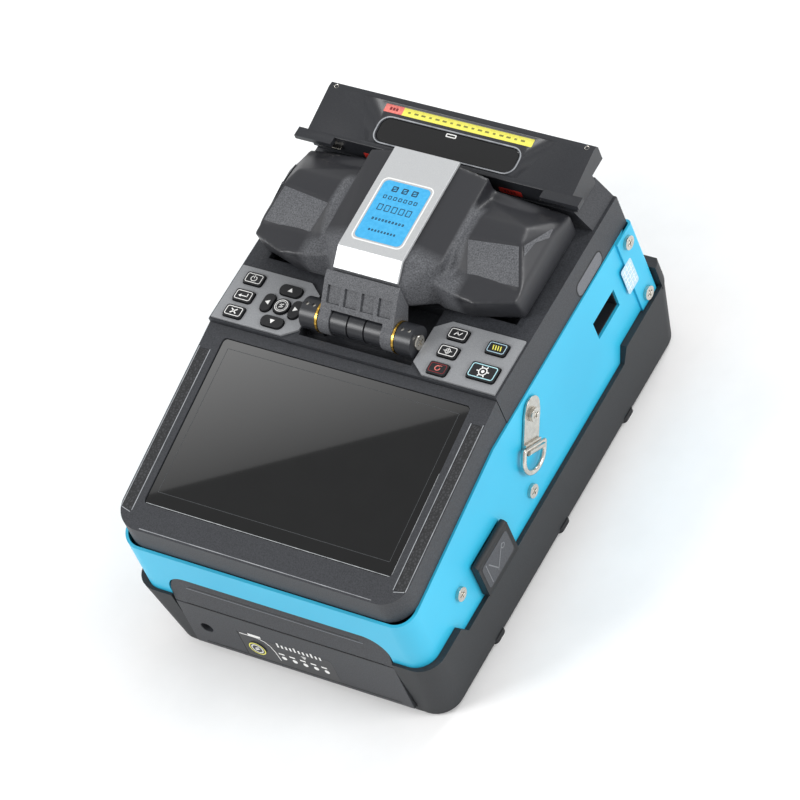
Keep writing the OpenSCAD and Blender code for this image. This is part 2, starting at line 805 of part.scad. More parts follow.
module objective_lenses() {
    color("#1e1f22") for (y = [-1, 1] * lens_y) translate([0, stage_y + y,
        well_z - cover_t - lens_len]) difference() {
        cylinder(h = lens_len, r = lens_y - 0.6);
        translate([0, 0, lens_len - 2]) cylinder(h = 3, r = 4.6);
    }
}

module fiber_holders() {
    mid = stage_y;
    color("#46494d") both_sides() {
        difference() {
            block(holder_x0, holder_x1, mid - holder_d / 2, mid + holder_d / 2, well_z, holder_z);
            block(holder_x0 - 1, holder_x1 + 1, mid - 1, mid + 1, holder_z - 1.2, big);
            block(holder_x0 - 1, holder_x1 + 1, clamp_y - 3.4, big, well_z + 4, big);
        }
        for (x = [holder_x0, holder_x1 - 3]) difference() {
            block(x, x + 3, mid + holder_d / 2 - 4, clamp_y + 2, well_z, holder_z + 1.6);
            rod_x(x - 1, x + 4, clamp_y, holder_z + 1.6 - 2.4, clamp_pin_r);
        }
    }
}

module sheath_clamp(side) {
    x0 = holder_x0 + 3.3;
    x1 = holder_x1 - 3.3;
    pin_z = holder_z + 1.6 - 2.4;
    color("#2c2d30") scale([side, 1, 1]) {
        block(x0, x1, stage_y - holder_d / 2, clamp_y - 2.6, holder_z + 0.35,
            holder_z + 0.35 + clamp_t);
        block(x0, x1, clamp_y - 2.9, clamp_y + 1.4, pin_z - 1.4, holder_z + 0.35 + clamp_t);
        rod_x(x0 - 2.6, x1 + 2.6, clamp_y, pin_z, clamp_pin_r - 0.06);
        block(x0 + 4, x1 - 4, stage_y - holder_d / 2 - 3, stage_y - holder_d / 2 + 1,
            holder_z + 1.6, holder_z + 0.35 + clamp_t);
    }
}

module sheath_clamp_left() {
    sheath_clamp(-1);
}

module sheath_clamp_right() {
    sheath_clamp(1);
}

// ---- Windshield ----
module windshield_shell() {
    front = ws_y0;
    cheek_y = front + 5.3;
    ridge_y = front + 29.2;
    color("#34363a") difference() {
        union() {
            wrap_points([
                [spine_x0, front, z_top + 34], [spine_x0, SPINE[0][0], SPINE[0][1]],
                [spine_x0, SPINE[1][0], SPINE[1][1]], [spine_x0, SPINE[2][0], SPINE[2][1]],
                [spine_x1, front + 16, z_top + 37], [spine_x1, ws_y1, z_top + 40],
                [neck_x, front, ws_z0 + 8], [spine_x1, front + 10, ws_z0 + 1],
                [spine_x1, ws_y1, ws_z0 + 1]
            ]);
            both_sides() {
                wrap_half([
                    [spine_x1 - 2, cheek_y + 2.5, ws_z0], [spine_x1 - 2, cheek_y + 4, ws_rim_z],
                    [spine_x1 + 8.5, cheek_y + 1.4, ws_rim_z], [45, cheek_y, ws_rim_z],
                    [ws_x, cheek_y + 6.3, ws_rim_z - 1.2], [ws_x, cheek_y + 8, ws_z0],
                    [40, cheek_y + 2.5, ws_z0], [ws_x, ws_cheek_y, ws_rim_z],
                    [ws_x, ws_y1, ws_rim_z - 3], [ws_x, ws_y1, ws_z0], [spine_x1 - 2, ws_y1, ws_z0],
                    [spine_x1 - 2, ws_y1, ws_rim_z + 2]
                ]);
                wrap_half([
                    [spine_x1 - 2, cheek_y + 11, ws_rim_z - 1.2],
                    [spine_x1 + 8.5, cheek_y + 10, ws_rim_z],
                    [ws_x - 0.4, cheek_y + 11.4, ws_rim_z - 0.3],
                    [ws_x - 6, ridge_y + 2.7, ws_patch_z + 0.4], [spine_x1 + 3.7, ridge_y, ws_patch_z],
                    [spine_x1 - 2, ridge_y, ws_patch_z - 3.1],
                    [spine_x1 + 4.5, ws_cheek_y - 6, ws_patch_z],
                    [ws_x - 8, ws_cheek_y - 6, ws_patch_z],
                    [spine_x1 - 2, ws_cheek_y - 3, ws_patch_z - 3.1], [ws_x, ws_cheek_y, ws_rim_z],
                    [spine_x1 - 2, ws_y1 - 5, ws_rim_z + 2], [ws_x - 2, ws_y1 - 5, ws_rim_z - 1],
                    [spine_x1 - 2, cheek_y + 5, ws_rim_z - 4], [ws_x - 1, ws_cheek_y, ws_rim_z - 6]
                ]);
            }
        }
        block(-ws_x + ws_wall, ws_x - ws_wall, ws_y0 + 13, ws_y1 - ws_wall, 0, ws_rim_z - ws_wall);
        block(-spine_x1 + ws_wall, spine_x1 - ws_wall, ws_y0 + 11, ws_y1 - ws_wall, 0, ws_rim_z + 2);
    }
}

module windshield_arm() {
    y = hinge_y;
    z = hinge_z;
    pocket_w = 6.2;
    color("#3a3c40") difference() {
        union() {
            both_sides() {
                rod_x(arm_x0, neck_x, y, z, knob_r);
                along_x(arm_x0, neck_x) polygon([
                    [y - 5.6, z + 2.4], [y + 8, z + 15.5], [neck_y1, neck_z1], [neck_y1, z + 6],
                    [y + 5.8, z - 2]
                ]);
            }
            along_x(-neck_x, neck_x) polygon([
                [y - 0.6, z + 7.2], [y + 8, z + 15.5], [neck_y1, neck_z1], [neck_y1, z + 8],
                [y + 6, z + 8], [y + 2.4, z + 6.9]
            ]);
        }
        both_sides() rod_x(arm_x0 - 1, neck_x + 1, y, z, shaft_r + run_gap);
        rod_x(-arm_x0 + 0.01, arm_x0 - 0.01, y, z, knob_r + 0.2);
        for (i = [-1.5, -0.5, 0.5, 1.5])
            translate([i * 7.9, y + 3.7, z + 11.35]) rotate([43.8, 0, 0])
                translate([-pocket_w / 2, -3.6, -1]) cube([pocket_w, 7.2, 3]);
    }
}

module name_plate() {
    under = plate_seat + 0.02;
    over = under + plate_t;
    color("#c6c8ca") along_x(-plate_w / 2, plate_w / 2) polygon([
        SPINE[0] + [-under, under], SPINE[0] + [-0.8, 1], SPINE[1] + [-0.3, over],
        SPINE[2] + [0.6, over + 0.1], SPINE[2] + [0.6, under], SPINE[1] + [-0.02, under]
    ]);
}

// ---- Oven ----
module heater_rests() {
    color("#2a2b2e") both_sides() difference() {
        block(heater_x + 2, lid_x - 7, trough_y0 + 0.4, trough_y1 - 0.4, trough_z, housing_z + 0.6);
        along_x(heater_x, big) polygon([
            [trough_y0 + 3, housing_z + 2], [trough_y0 + 5.5, housing_z - 2],
            [trough_y0 + 8, housing_z + 2]
        ]);
    }
}

module heater_trough() {
    color("#a3a6a8") difference() {
        block(-heater_x, heater_x, trough_y0 + 0.4, trough_y1 - 0.4, trough_z, housing_z + 2);
        along_x(-heater_x - 1, heater_x + 1) polygon([
            [trough_y0 + 2.3, housing_z + 3], [trough_y0 + 5.5, housing_z - 3.4],
            [trough_y0 + 8.7, housing_z + 3]
        ]);
    }
}

module lid_hinge_ears() {
    color("#2f3134") both_sides() difference() {
        union() {
            rod_x(ear_x0, ear_x1, pin_y, pin_z, ear_r);
            block(ear_x0, ear_x1, trough_y1 + 0.3, cover_y1, housing_z, pin_z);
        }
        rod_x(ear_x0 - 1, ear_x1 + 1, pin_y, pin_z, lid_pin_r + 0.02);
    }
}

module lid_hinge_pin() {
    color("#a9acae") both_sides() rod_x(ear_x0 - 3, ear_x1 + 3, pin_y, pin_z, lid_pin_r);
}

module lid_section() {
    polygon([
        [lid_y0, lid_z0], [lid_y0, lid_front_z - 0.6], [lid_y0 + 1, lid_front_z],
        [lid_y1 - 3, lid_back_z], [lid_y1 - 0.8, lid_back_z - 0.2], [lid_y1, lid_back_z - 1.6],
        [lid_y1, lid_z0]
    ]);
}

module lid_hollow() {
    polygon([
        [lid_y0 + lid_skin, 0], [lid_y0 + lid_skin, lid_front_z - 2.4],
        [lid_y1 - 3.2, lid_back_z - 2.1], [lid_y1 - lid_skin, lid_back_z - 2.3], [lid_y1 - lid_skin, 0]
    ]);
}

module window_place() {
    translate([0, window_y, lid_front_z + (window_y - lid_y0) * tan(lid_slope)])
        rotate([lid_slope, 0, 0]) children();
}

module heater_lid() {
    boss_x = 2.6;
    tab_len = 3.6;
    color("#2e3033") difference() {
        union() {
            difference() {
                union() {
                    along_x(-lid_x, lid_x) lid_section();
                    both_sides() block(lid_x - 13, lid_x + 4.4, lid_y0 - tab_len, lid_y0 + 1,
                        lid_front_z - 2.6, lid_front_z - 0.4);
                }
                along_x(-lid_x + lid_skin, lid_x - lid_skin) lid_hollow();
                block(-big, big, trough_y1 - 0.2, big, 0, pin_z - 2);
            }
            both_sides() for (x = [ear_x0 - 0.4 - boss_x, ear_x1 + 0.4]) {
                rod_x(x, x + boss_x, pin_y, pin_z, 3);
                block(x, x + boss_x, pin_y - 3, pin_y + 3, pin_z, lid_front_z + 2.2);
            }
        }
        both_sides() rod_x(ear_x0 - 5, ear_x1 + 5, pin_y, pin_z, lid_pin_r + 0.06);
        both_sides() block(ear_x0 - 0.4, ear_x1 + 0.4, pin_y - 4.2, big, 0, pin_z + 3.9);
        window_place() translate([0, 0, -6]) rounded_block(window_w + 0.2, window_d + 0.2, 12,
            window_d / 2 - 1.4);
    }
}

module lid_window() {
    color("#aeb4b8", 0.5) window_place() translate([0, 0, -2.2]) rounded_block(window_w, window_d,
        1.6, window_d / 2 - 1.5);
}

module heater_clamps() {
    z = housing_z + 5.2;
    color("#c4c6c8") both_sides() {
        block(40, 52, lid_y0 + lid_skin + 0.1, lid_y0 + lid_skin + 1.1, z - 3, z + 2.4);
        block(42, 50, lid_y0 + lid_skin + 0.1, lid_y0 + 13, z - 3, z - 2);
    }
}

// ---- Battery ----
module battery_pack() {
    color("#26272a") difference() {
        translate([0, face_y0 + face_t + 0.02 + pack_d / 2, face_z0])
            rounded_block(2 * pack_x, pack_d, pack_z1 - face_z0, 2);
        rod_y(face_y0, face_y0 + inlet_depth + inlet_wall + 0.3, inlet_x, inlet_z,
            inlet_r + inlet_wall + 0.2);
    }
}

module battery_face() {
    color("#34363a") difference() {
        union() {
            intersection() {
                along_y(face_y0, face_y0 + face_t) battery_arch(0);
                along_x(-big / 2, big / 2) polygon([
                    [face_y0, 0], [face_y0, grip_z], [face_y0 + 2.2, face_z0 + battery_h + 1],
                    [face_y0 + face_t, face_z0 + battery_h + 1], [face_y0 + face_t, 0]
                ]);
            }
            rod_y(face_y0 + 1, face_y0 + inlet_depth + inlet_wall, inlet_x, inlet_z,
                inlet_r + inlet_wall);
        }
        block(-big, big, face_y0 - 1, face_y0 + 0.6, grip_z - 0.4, grip_z + 0.4);
        rod_y(face_y0 - 1, face_y0 + inlet_depth, inlet_x, inlet_z, inlet_r);
        rod_y(face_y0 - 1, face_y0 + face_t - 1.4, button_x, button_z, button_r + 0.3);
    }
}

module check_button() {
    color("#2a2b2e") rod_y(face_y0 - 0.5, face_y0 + face_t - 2.6, button_x, button_z, button_r);
}

// ---- Side fittings ----
module usb_flap() {
    x0 = flap_pin_x - flap_r;
    y0 = usb_y0 - 1.2;
    y1 = usb_y1 + 1.2;
    color("#2b2d30") {
        translate([flap_pin_x, y0, flap_z1 - flap_r]) rotate([-90, 0, 0]) cylinder(h = y1 - y0,
            r = flap_r);
        block(x0, x0 + 2 * flap_r, y0, y1, flap_z0, flap_z1 - flap_r);
    }
}

// Strap plate in its own plane: the screw hole is at the origin and the plate hangs down -Y
module strap_plate_outline() {
    loop_w = ring_w - 1.4;
    difference() {
        union() {
            circle(5.6);
            polygon([[-5.5, -1], [5.5, -1], [loop_w / 2, -strap_len + 3.6], [loop_w / 2, -strap_len],
                [-loop_w / 2, -strap_len], [-loop_w / 2, -strap_len + 3.6]]);
            translate([0, 2.4]) circle(5.1);
        }
        circle(screw_r + 0.2);
    }
}

// Puts a strap fitting at the right side's screw, tilted, with its own x outwards from the shell
module at_strap() {
    translate([0, strap_y, strap_z]) rotate([-strap_tilt, 0, 0]) rotate([90, 0, 90]) children();
}

module strap_plate(side) {
    loop_w = ring_w - 1.4;
    color("#c9c6bf") scale([side, 1, 1]) at_strap() {
        translate([0, 0, strap_x0]) linear_extrude(strap_t) strap_plate_outline();
        translate([-loop_w / 2, -strap_len, loop_x]) rotate([0, 90, 0]) difference() {
            cylinder(h = loop_w, r = loop_r);
            translate([0, 0, -1]) cylinder(h = loop_w + 2, r = ring_wire_r + 0.1);
            translate([-loop_r * 2 + 0.2, 0.4, -1]) cube([loop_r * 2, loop_r * 2, loop_w + 2]);
        }
    }
}

module strap_plate_left() {
    strap_plate(-1);
}

module strap_plate_right() {
    strap_plate(1);
}

// Ring: a straight bar in the plate's loop and a half-round bow
module strap_ring(side) {
    bow_r = ring_w / 2 + ring_wire_r;
    leg = 3.4;
    color("#cfcdc6") scale([side, 1, 1]) at_strap() translate([0, -strap_len, loop_x]) {
        translate([-bow_r, 0, 0]) rotate([0, 90, 0]) cylinder(h = 2 * bow_r, r = ring_wire_r);
        for (x = [-bow_r, bow_r]) {
            translate([x, -leg, 0]) rotate([-90, 0, 0]) cylinder(h = leg, r = ring_wire_r);
            translate([x, 0, 0]) sphere(ring_wire_r);
        }
        translate([0, -leg, 0]) rotate([0, 0, 180])
            rotate_extrude(angle = 180) translate([bow_r, 0]) circle(ring_wire_r);
    }
}

module strap_ring_left() {
    strap_ring(-1);
}

module strap_ring_right() {
    strap_ring(1);
}

base_tray();
rubber_feet();
wrap_panel();
rear_panel();
side_screws();
chassis_frame();
main_board();
monitor_bezel();
grip_strips();
lcd_panel();
screen_glass();
top_cover();
keypad_plates();
key_board();
side_socket();
usb_ports();
hinge_knuckles();
hinge_shaft();
damper_barrel();
brass_washers();
hinge_screws();
splice_stage();
v_groove_blocks();
electrodes();
objective_lenses();
fiber_holders();
heater_rests();
heater_trough();
lid_hinge_ears();
lid_hinge_pin();
windshield_shell();
windshield_arm();
name_plate();
heater_lid();
lid_window();
heater_clamps();
sheath_clamp_left();
sheath_clamp_right();
key_cap(-1, KEYS_LEFT[0]);  // key_power
key_cap(-1, KEYS_LEFT[1]);  // key_enter
key_cap(-1, KEYS_LEFT[2]);  // key_cancel
key_cap(-1, KEYS_LEFT[3]);  // key_up
key_cap(-1, KEYS_LEFT[4]);  // key_down
key_cap(-1, KEYS_LEFT[5]);  // key_left
key_cap(-1, KEYS_LEFT[6]);  // key_right
key_cap(-1, KEYS_LEFT[7]);  // key_centre
key_cap(1, KEYS_RIGHT[0]);  // key_arc
key_cap(1, KEYS_RIGHT[1]);  // key_focus
key_cap(1, KEYS_RIGHT[2]);  // key_reset
key_cap(1, KEYS_RIGHT[3]);  // key_heat
key_cap(1, KEYS_RIGHT[4]);  // key_set
battery_pack();
battery_face();
check_button();
usb_flap();
strap_plate_left();
strap_plate_right();
strap_ring_left();
strap_ring_right();
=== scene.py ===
"""Bench splicer for optical fibres: a blue sheet-metal shell in a moulded bumper tray, with a sloping
display, two keypads, a hinged windshield with a name plate and a hinged oven lid.

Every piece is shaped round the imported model, in metres, +Z up, with its place in its mesh."""

import math

import bpy
from mathutils import Matrix, Vector


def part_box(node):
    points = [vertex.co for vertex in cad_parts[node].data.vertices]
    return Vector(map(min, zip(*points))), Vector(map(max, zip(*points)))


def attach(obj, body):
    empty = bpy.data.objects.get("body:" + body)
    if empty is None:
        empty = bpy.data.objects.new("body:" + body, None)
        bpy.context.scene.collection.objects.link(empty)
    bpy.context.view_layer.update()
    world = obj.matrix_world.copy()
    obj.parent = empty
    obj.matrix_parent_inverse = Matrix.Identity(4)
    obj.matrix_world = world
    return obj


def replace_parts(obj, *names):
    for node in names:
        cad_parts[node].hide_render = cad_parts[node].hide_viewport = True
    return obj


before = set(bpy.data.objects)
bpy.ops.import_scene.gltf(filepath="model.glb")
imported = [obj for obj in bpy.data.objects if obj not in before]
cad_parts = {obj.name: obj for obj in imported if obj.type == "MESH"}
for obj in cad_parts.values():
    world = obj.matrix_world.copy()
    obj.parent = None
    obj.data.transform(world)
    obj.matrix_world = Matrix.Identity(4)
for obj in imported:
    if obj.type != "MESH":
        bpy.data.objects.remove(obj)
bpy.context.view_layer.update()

MM = 0.001
# Points closer than this are one corner, in millimetres
WELD_DISTANCE = 0.004


# ---- Selecting and shaping ------------------------------------------------------------------------
def only(piece):
    """Makes the piece the only one selected."""
    bpy.ops.object.select_all(action="DESELECT")
    piece.select_set(True)
    bpy.context.view_layer.objects.active = piece


def settle(piece, name):
    """Names the piece and puts its place, turn and size in its mesh."""
    only(piece)
    piece.name = name
    piece.data.name = name
    bpy.ops.object.transform_apply(location=True, rotation=True, scale=True)
    return piece


def pick(piece, test):
    """Selects the faces for which test(middle, normal) is true."""
    mesh = piece.data
    for part in (*mesh.vertices, *mesh.edges, *mesh.polygons):
        part.select = False
    for face in mesh.polygons:
        face.select = bool(test(face.center, face.normal))


def shape(piece, operator, what="FACE", **settings):
    """Runs an edit-mode operator on what is selected in the piece."""
    only(piece)
    bpy.context.tool_settings.mesh_select_mode = (what == "VERT", what == "EDGE", what == "FACE")
    bpy.ops.object.mode_set(mode="EDIT")
    operator(**settings)
    bpy.ops.object.mode_set(mode="OBJECT")


def shape_all(piece, operator, **settings):
    """Runs an edit-mode operator on the whole piece."""
    only(piece)
    bpy.ops.object.mode_set(mode="EDIT")
    bpy.ops.mesh.select_all(action="SELECT")
    operator(**settings)
    bpy.ops.object.mode_set(mode="OBJECT")


def apply_modifier(piece, kind, **settings):
    """Adds a modifier with its settings and applies it."""
    only(piece)
    modifier = piece.modifiers.new(kind.title(), kind)
    for key, value in settings.items():
        setattr(modifier, key, value)
    bpy.ops.object.modifier_apply(modifier=modifier.name)
    return piece


def round_edges(piece, width, segments=2, angle=32):
    """Rounds every edge sharper than an angle, as a mould or a file leaves it."""
    return apply_modifier(piece, "BEVEL", width=width * MM, segments=segments, limit_method="ANGLE",
                          angle_limit=math.radians(angle), use_clamp_overlap=True, harden_normals=False)


def shade(piece, angle=38):
    """Shades the piece smooth, except over sharp edges."""
    only(piece)
    bpy.ops.object.shade_smooth_by_angle(angle=math.radians(angle))
    return piece


def block(name, low, high):
    """A box between two corners, in millimetres."""
    low, high = Vector(low) * MM, Vector(high) * MM
    bpy.ops.mesh.primitive_cube_add(size=1, location=(low + high) / 2, scale=high - low)
    return settle(bpy.context.object, name)


def rod(name, end_a, end_b, radius, sides=32):
    """A round bar between two points, in millimetres."""
    a, b = Vector(end_a) * MM, Vector(end_b) * MM
    turn = (b - a).to_track_quat("Z", "Y").to_euler()
    bpy.ops.mesh.primitive_cone_add(vertices=sides, radius1=radius * MM, radius2=radius * MM,
                                    depth=(b - a).length, location=(a + b) / 2, rotation=turn)
    return settle(bpy.context.object, name)


def flat_square(name, centre, size):
    """A level rectangle with its middle at a point, in metres, and its size in millimetres."""
    bpy.ops.mesh.primitive_plane_add(size=1, location=centre)
    bpy.context.object.scale = (size[0] * MM, size[1] * MM, 1)
    return settle(bpy.context.object, name)


def sheet(name, centre, size, corner, thick, segments=5):
    """A flat plate with round corners that lies level, its underside at the centre's height."""
    centre = Vector(centre) * MM
    plate = flat_square(name, centre, size)
    if corner > 0:
        shape_all(plate, bpy.ops.mesh.bevel, offset=corner * MM, segments=segments, affect="VERTICES")
    shape_all(plate, bpy.ops.mesh.extrude_region_move,
              TRANSFORM_OT_translate={"value": (0, 0, thick * MM)})
    shape_all(plate, bpy.ops.mesh.normals_make_consistent)
    return plate


def frame_ring(name, centre, size, corner, line, thick, segments=5):
    """A flat ring with round corners: a printed outline or a raised border."""
    centre = Vector(centre) * MM
    ring = flat_square(name, centre, size)
    shape_all(ring, bpy.ops.mesh.bevel, offset=corner * MM, segments=segments, affect="VERTICES")
    shape_all(ring, bpy.ops.mesh.inset, thickness=line * MM)
    shape(ring, bpy.ops.mesh.delete, type="FACE")
    shape_all(ring, bpy.ops.mesh.extrude_region_move,
              TRANSFORM_OT_translate={"value": (0, 0, thick * MM)})
    shape_all(ring, bpy.ops.mesh.normals_make_consistent)
    return ring


def place(piece, matrix):
    """Carries the piece's mesh by a matrix."""
    piece.data.transform(matrix)
    piece.data.update()
    return piece


def joined(name, parts):
    """Several shapes made one piece, each with its own finish."""
    bpy.ops.object.select_all(action="DESELECT")
    for part in parts:
        part.select_set(True)
    bpy.context.view_layer.objects.active = parts[0]
    bpy.ops.object.join()
    parts[0].name = name
    parts[0].data.name = name
    return parts[0]


def carve(piece, cutter):
    """Cuts the cutter's shape out of the piece."""
    apply_modifier(piece, "BOOLEAN", operation="DIFFERENCE", object=cutter, solver="EXACT")
    bpy.data.objects.remove(cutter)
    return piece


def cad_copy(node, name, edge=0.4, segments=2, angle=32):
    """A clean copy of a CAD node with its edges rounded, which stands for the node."""
    piece = bpy.data.objects.new(name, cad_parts[node].data.copy())
    bpy.context.scene.collection.objects.link(piece)
    piece.data.name = name
    piece.data.materials.clear()
    shape_all(piece, bpy.ops.mesh.remove_doubles, threshold=WELD_DISTANCE * MM)
    shape_all(piece, bpy.ops.mesh.dissolve_limited, angle_limit=math.radians(0.5))
    if edge > 0:
        round_edges(piece, edge, segments, angle)
    shade(piece)
    apply_modifier(piece, "WEIGHTED_NORMAL", keep_sharp=True)
    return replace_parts(piece, node)


def finish_piece(piece, body, slot, *materials):
    """Gives the piece its finish and fastens it to its body."""
    if materials:
        piece.data.materials.clear()
        for material in materials:
            piece.data.materials.append(material)
    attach(piece, body)
    return piece


# ---- Materials --------------------------------------------------------------------------------------
def linear(code):
    """A linear colour from an sRGB hex code."""
    parts = [int(code[i:i + 2], 16) / 255 for i in (1, 3, 5)]
    return tuple(c / 12.92 if c <= 0.04045 else ((c + 0.055) / 1.055) ** 2.4 for c in parts) + (1.0,)


def add(tree, kind, links=None, **settings):
    """Adds a node with its settings; links gives a value or another node's output for each input."""
    made = tree.nodes.new(kind)
    for key, value in settings.items():
        setattr(made, key, value)
    for key, value in (links or {}).items():
        if isinstance(value, bpy.types.NodeSocket):
            tree.links.new(value, made.inputs[key])
        else:
            made.inputs[key].default_value = value
    return made


def material(name, colour, roughness, metallic=0.0, **sockets):
    """A material whose shader holds the plain values; returns it with its tree, shader and coordinates."""
    made = bpy.data.materials.new(name)
    made.use_nodes = True
    tree = made.node_tree
    shader = tree.nodes["Principled BSDF"]
    values = {"Base Color": linear(colour), "Roughness": roughness, "Metallic": metallic}
    for key, value in {**values, **sockets}.items():
        shader.inputs[key].default_value = value
    where = add(tree, "ShaderNodeTexCoord").outputs["Object"]
    return made, tree, shader, where


def per_metre(size_mm):
    """Texture scale for a grain of this size in millimetres."""
    return 1000.0 / size_mm


def grained(name, dark, light, roughness, grain_mm, bump_mm, metallic=0.0, contrast=(0.35, 0.65), **sockets):
    """A grained surface: colour and height follow one noise of a real grain size."""
    made, tree, shader, where = material(name, dark, roughness, metallic, **sockets)
    grain = add(tree, "ShaderNodeTexNoise", {"Vector": where, "Scale": per_metre(grain_mm), "Detail": 3.0,
                                             "Roughness": 0.6})
    ramp = add(tree, "ShaderNodeValToRGB", {"Fac": grain.outputs["Fac"]})
    ramp.color_ramp.elements[0].position = contrast[0]
    ramp.color_ramp.elements[0].color = linear(dark)
    ramp.color_ramp.elements[1].position = contrast[1]
    ramp.color_ramp.elements[1].color = linear(light)
    tree.links.new(ramp.outputs["Color"], shader.inputs["Base Color"])
    bump = add(tree, "ShaderNodeBump", {"Height": grain.outputs["Fac"], "Distance": bump_mm * MM,
                                        "Strength": 0.6})
    tree.links.new(bump.outputs["Normal"], shader.inputs["Normal"])
    return made


def coated_sheet():
    """Powder-coated sheet metal: an even cyan skin with the faint ripple of baked powder."""
    made, tree, shader, where = material("powder_coated_sheet", "#2cb4da", 0.42)
    shader.inputs["Coat Weight"].default_value = 0.12
    shader.inputs["Coat Roughness"].default_value = 0.3
    cloud = add(tree, "ShaderNodeTexNoise", {"Vector": where, "Scale": per_metre(60), "Detail": 2.0})
    ramp = add(tree, "ShaderNodeValToRGB", {"Fac": cloud.outputs["Fac"]})
    ramp.color_ramp.elements[0].position = 0.3
    ramp.color_ramp.elements[0].color = linear("#29aed4")
    ramp.color_ramp.elements[1].position = 0.7
    ramp.color_ramp.elements[1].color = linear("#31badf")
    tree.links.new(ramp.outputs["Color"], shader.inputs["Base Color"])
    peel = add(tree, "ShaderNodeTexNoise", {"Vector": where, "Scale": per_metre(0.7), "Detail": 1.0})
    bump = add(tree, "ShaderNodeBump", {"Height": peel.outputs["Fac"], "Distance": 0.02 * MM,
                                        "Strength": 0.25})
    tree.links.new(bump.outputs["Normal"], shader.inputs["Normal"])
    return made


def leather_grain():
    """Moulded leather grain on the grip strips: dark pebbles, with painted shade darkening the creases
    between them and lighter tops.
    """
    made, tree, shader, where = material("leather_grained_rubber", "#2a2b2e", 0.6)
    cells = add(tree, "ShaderNodeTexVoronoi", {"Vector": where, "Scale": per_metre(1.3)},
                feature="DISTANCE_TO_EDGE")
    # Painted shade: the colour darkens towards the creases between the pebbles
    ramp = add(tree, "ShaderNodeValToRGB", {"Fac": cells.outputs["Distance"]})
    ramp.color_ramp.elements[0].position = 0.04
    ramp.color_ramp.elements[0].color = linear("#1a1b1d")
    ramp.color_ramp.elements[1].position = 0.3
    ramp.color_ramp.elements[1].color = linear("#36373a")
    tree.links.new(ramp.outputs["Color"], shader.inputs["Base Color"])
    bump = add(tree, "ShaderNodeBump", {"Height": cells.outputs["Distance"], "Distance": 0.35 * MM,
                                        "Strength": 0.9})
    tree.links.new(bump.outputs["Normal"], shader.inputs["Normal"])
    return made


def brushed(name, colour, roughness, grain_mm=0.25, stretch=40.0):
    """Brushed metal: fine scratches that run along X."""
    made, tree, shader, where = material(name, colour, roughness, 1.0)
    turned = add(tree, "ShaderNodeMapping", {"Vector": where, "Scale": (1 / stretch, 1.0, 1.0)})
    lines = add(tree, "ShaderNodeTexNoise", {"Vector": turned.outputs["Vector"],
                                             "Scale": per_metre(grain_mm), "Detail": 2.0})
    spread = add(tree, "ShaderNodeMapRange", {"Value": lines.outputs["Fac"], "From Min": 0.3,
                                              "From Max": 0.7, "To Min": roughness - 0.08,
                                              "To Max": roughness + 0.12})
    tree.links.new(spread.outputs["Result"], shader.inputs["Roughness"])
    bump = add(tree, "ShaderNodeBump", {"Height": lines.outputs["Fac"], "Distance": 0.01 * MM,
                                        "Strength": 0.3})
    tree.links.new(bump.outputs["Normal"], shader.inputs["Normal"])
    return made


def clear_window():
    """Clear polycarbonate, slightly smoked: the dark oven shows through it."""
    made, tree, shader, where = material("smoked_polycarbonate", "#101113", 0.06)
    shader.inputs["Transmission Weight"].default_value = 0.25
    shader.inputs["IOR"].default_value = 1.58
    haze = add(tree, "ShaderNodeTexNoise", {"Vector": where, "Scale": per_metre(9), "Detail": 3.0})
    spread = add(tree, "ShaderNodeMapRange", {"Value": haze.outputs["Fac"], "To Min": 0.03,
                                              "To Max": 0.16})
    tree.links.new(spread.outputs["Result"], shader.inputs["Roughness"])
    return made


def shell_plastic():
    """The windshield's skin: satin, fading into coarse speckle on the shoulders and beside the spine."""
    made, tree, shader, where = material("satin_to_speckled_abs", "#2c2d31", 0.4)

    def ramp(value, start, end, rising):
        low, high = (0.0, 1.0) if rising else (1.0, 0.0)
        return add(tree, "ShaderNodeMapRange", {"Value": value, "From Min": start * MM, "From Max": end * MM,
                                                "To Min": low, "To Max": high}).outputs["Result"]

    def join(one, other, operation):
        return add(tree, "ShaderNodeMath", {0: one, 1: other}, operation=operation).outputs["Value"]

    axes = add(tree, "ShaderNodeSeparateXYZ", {"Vector": where})
    across = join(axes.outputs["X"], 0.0, "ABSOLUTE")
    along = axes.outputs["Y"]
    shoulder = join(ramp(along, 27, 33, False), ramp(across, 34, 38, False), "MULTIPLY")
    valley = join(join(ramp(across, 26.4, 27.6, True), ramp(across, 31, 33, False), "MULTIPLY"),
                  ramp(along, 56, 60, False), "MULTIPLY")
    speckled = join(shoulder, valley, "MAXIMUM")
    grain = add(tree, "ShaderNodeTexNoise", {"Vector": where, "Scale": per_metre(0.62), "Detail": 3.0,
                                             "Roughness": 0.6})
    tones = add(tree, "ShaderNodeValToRGB", {"Fac": grain.outputs["Fac"]})
    tones.color_ramp.elements[0].position = 0.36
    tones.color_ramp.elements[0].color = linear("#424347")
    tones.color_ramp.elements[1].position = 0.74
    tones.color_ramp.elements[1].color = linear("#6c6e72")
    colour = add(tree, "ShaderNodeMix", {"Factor": speckled, "A": linear("#292a2e"),
                                         "B": tones.outputs["Color"]}, data_type="RGBA")
    tree.links.new(colour.outputs["Result"], shader.inputs["Base Color"])
    matte = ramp(speckled, 0, 1000, True)
    dull = add(tree, "ShaderNodeMapRange", {"Value": matte, "To Min": 0.38, "To Max": 0.62})
    tree.links.new(dull.outputs["Result"], shader.inputs["Roughness"])
    height = join(grain.outputs["Fac"], add(tree, "ShaderNodeMapRange", {
        "Value": matte, "To Min": 0.12, "To Max": 1.0}).outputs["Result"], "MULTIPLY")
    bump = add(tree, "ShaderNodeBump", {"Height": height, "Distance": 0.1 * MM, "Strength": 0.6})
    tree.links.new(bump.outputs["Normal"], shader.inputs["Normal"])
    return made


SHELL_PLASTIC = shell_plastic()
BLUE_SHEET = coated_sheet()
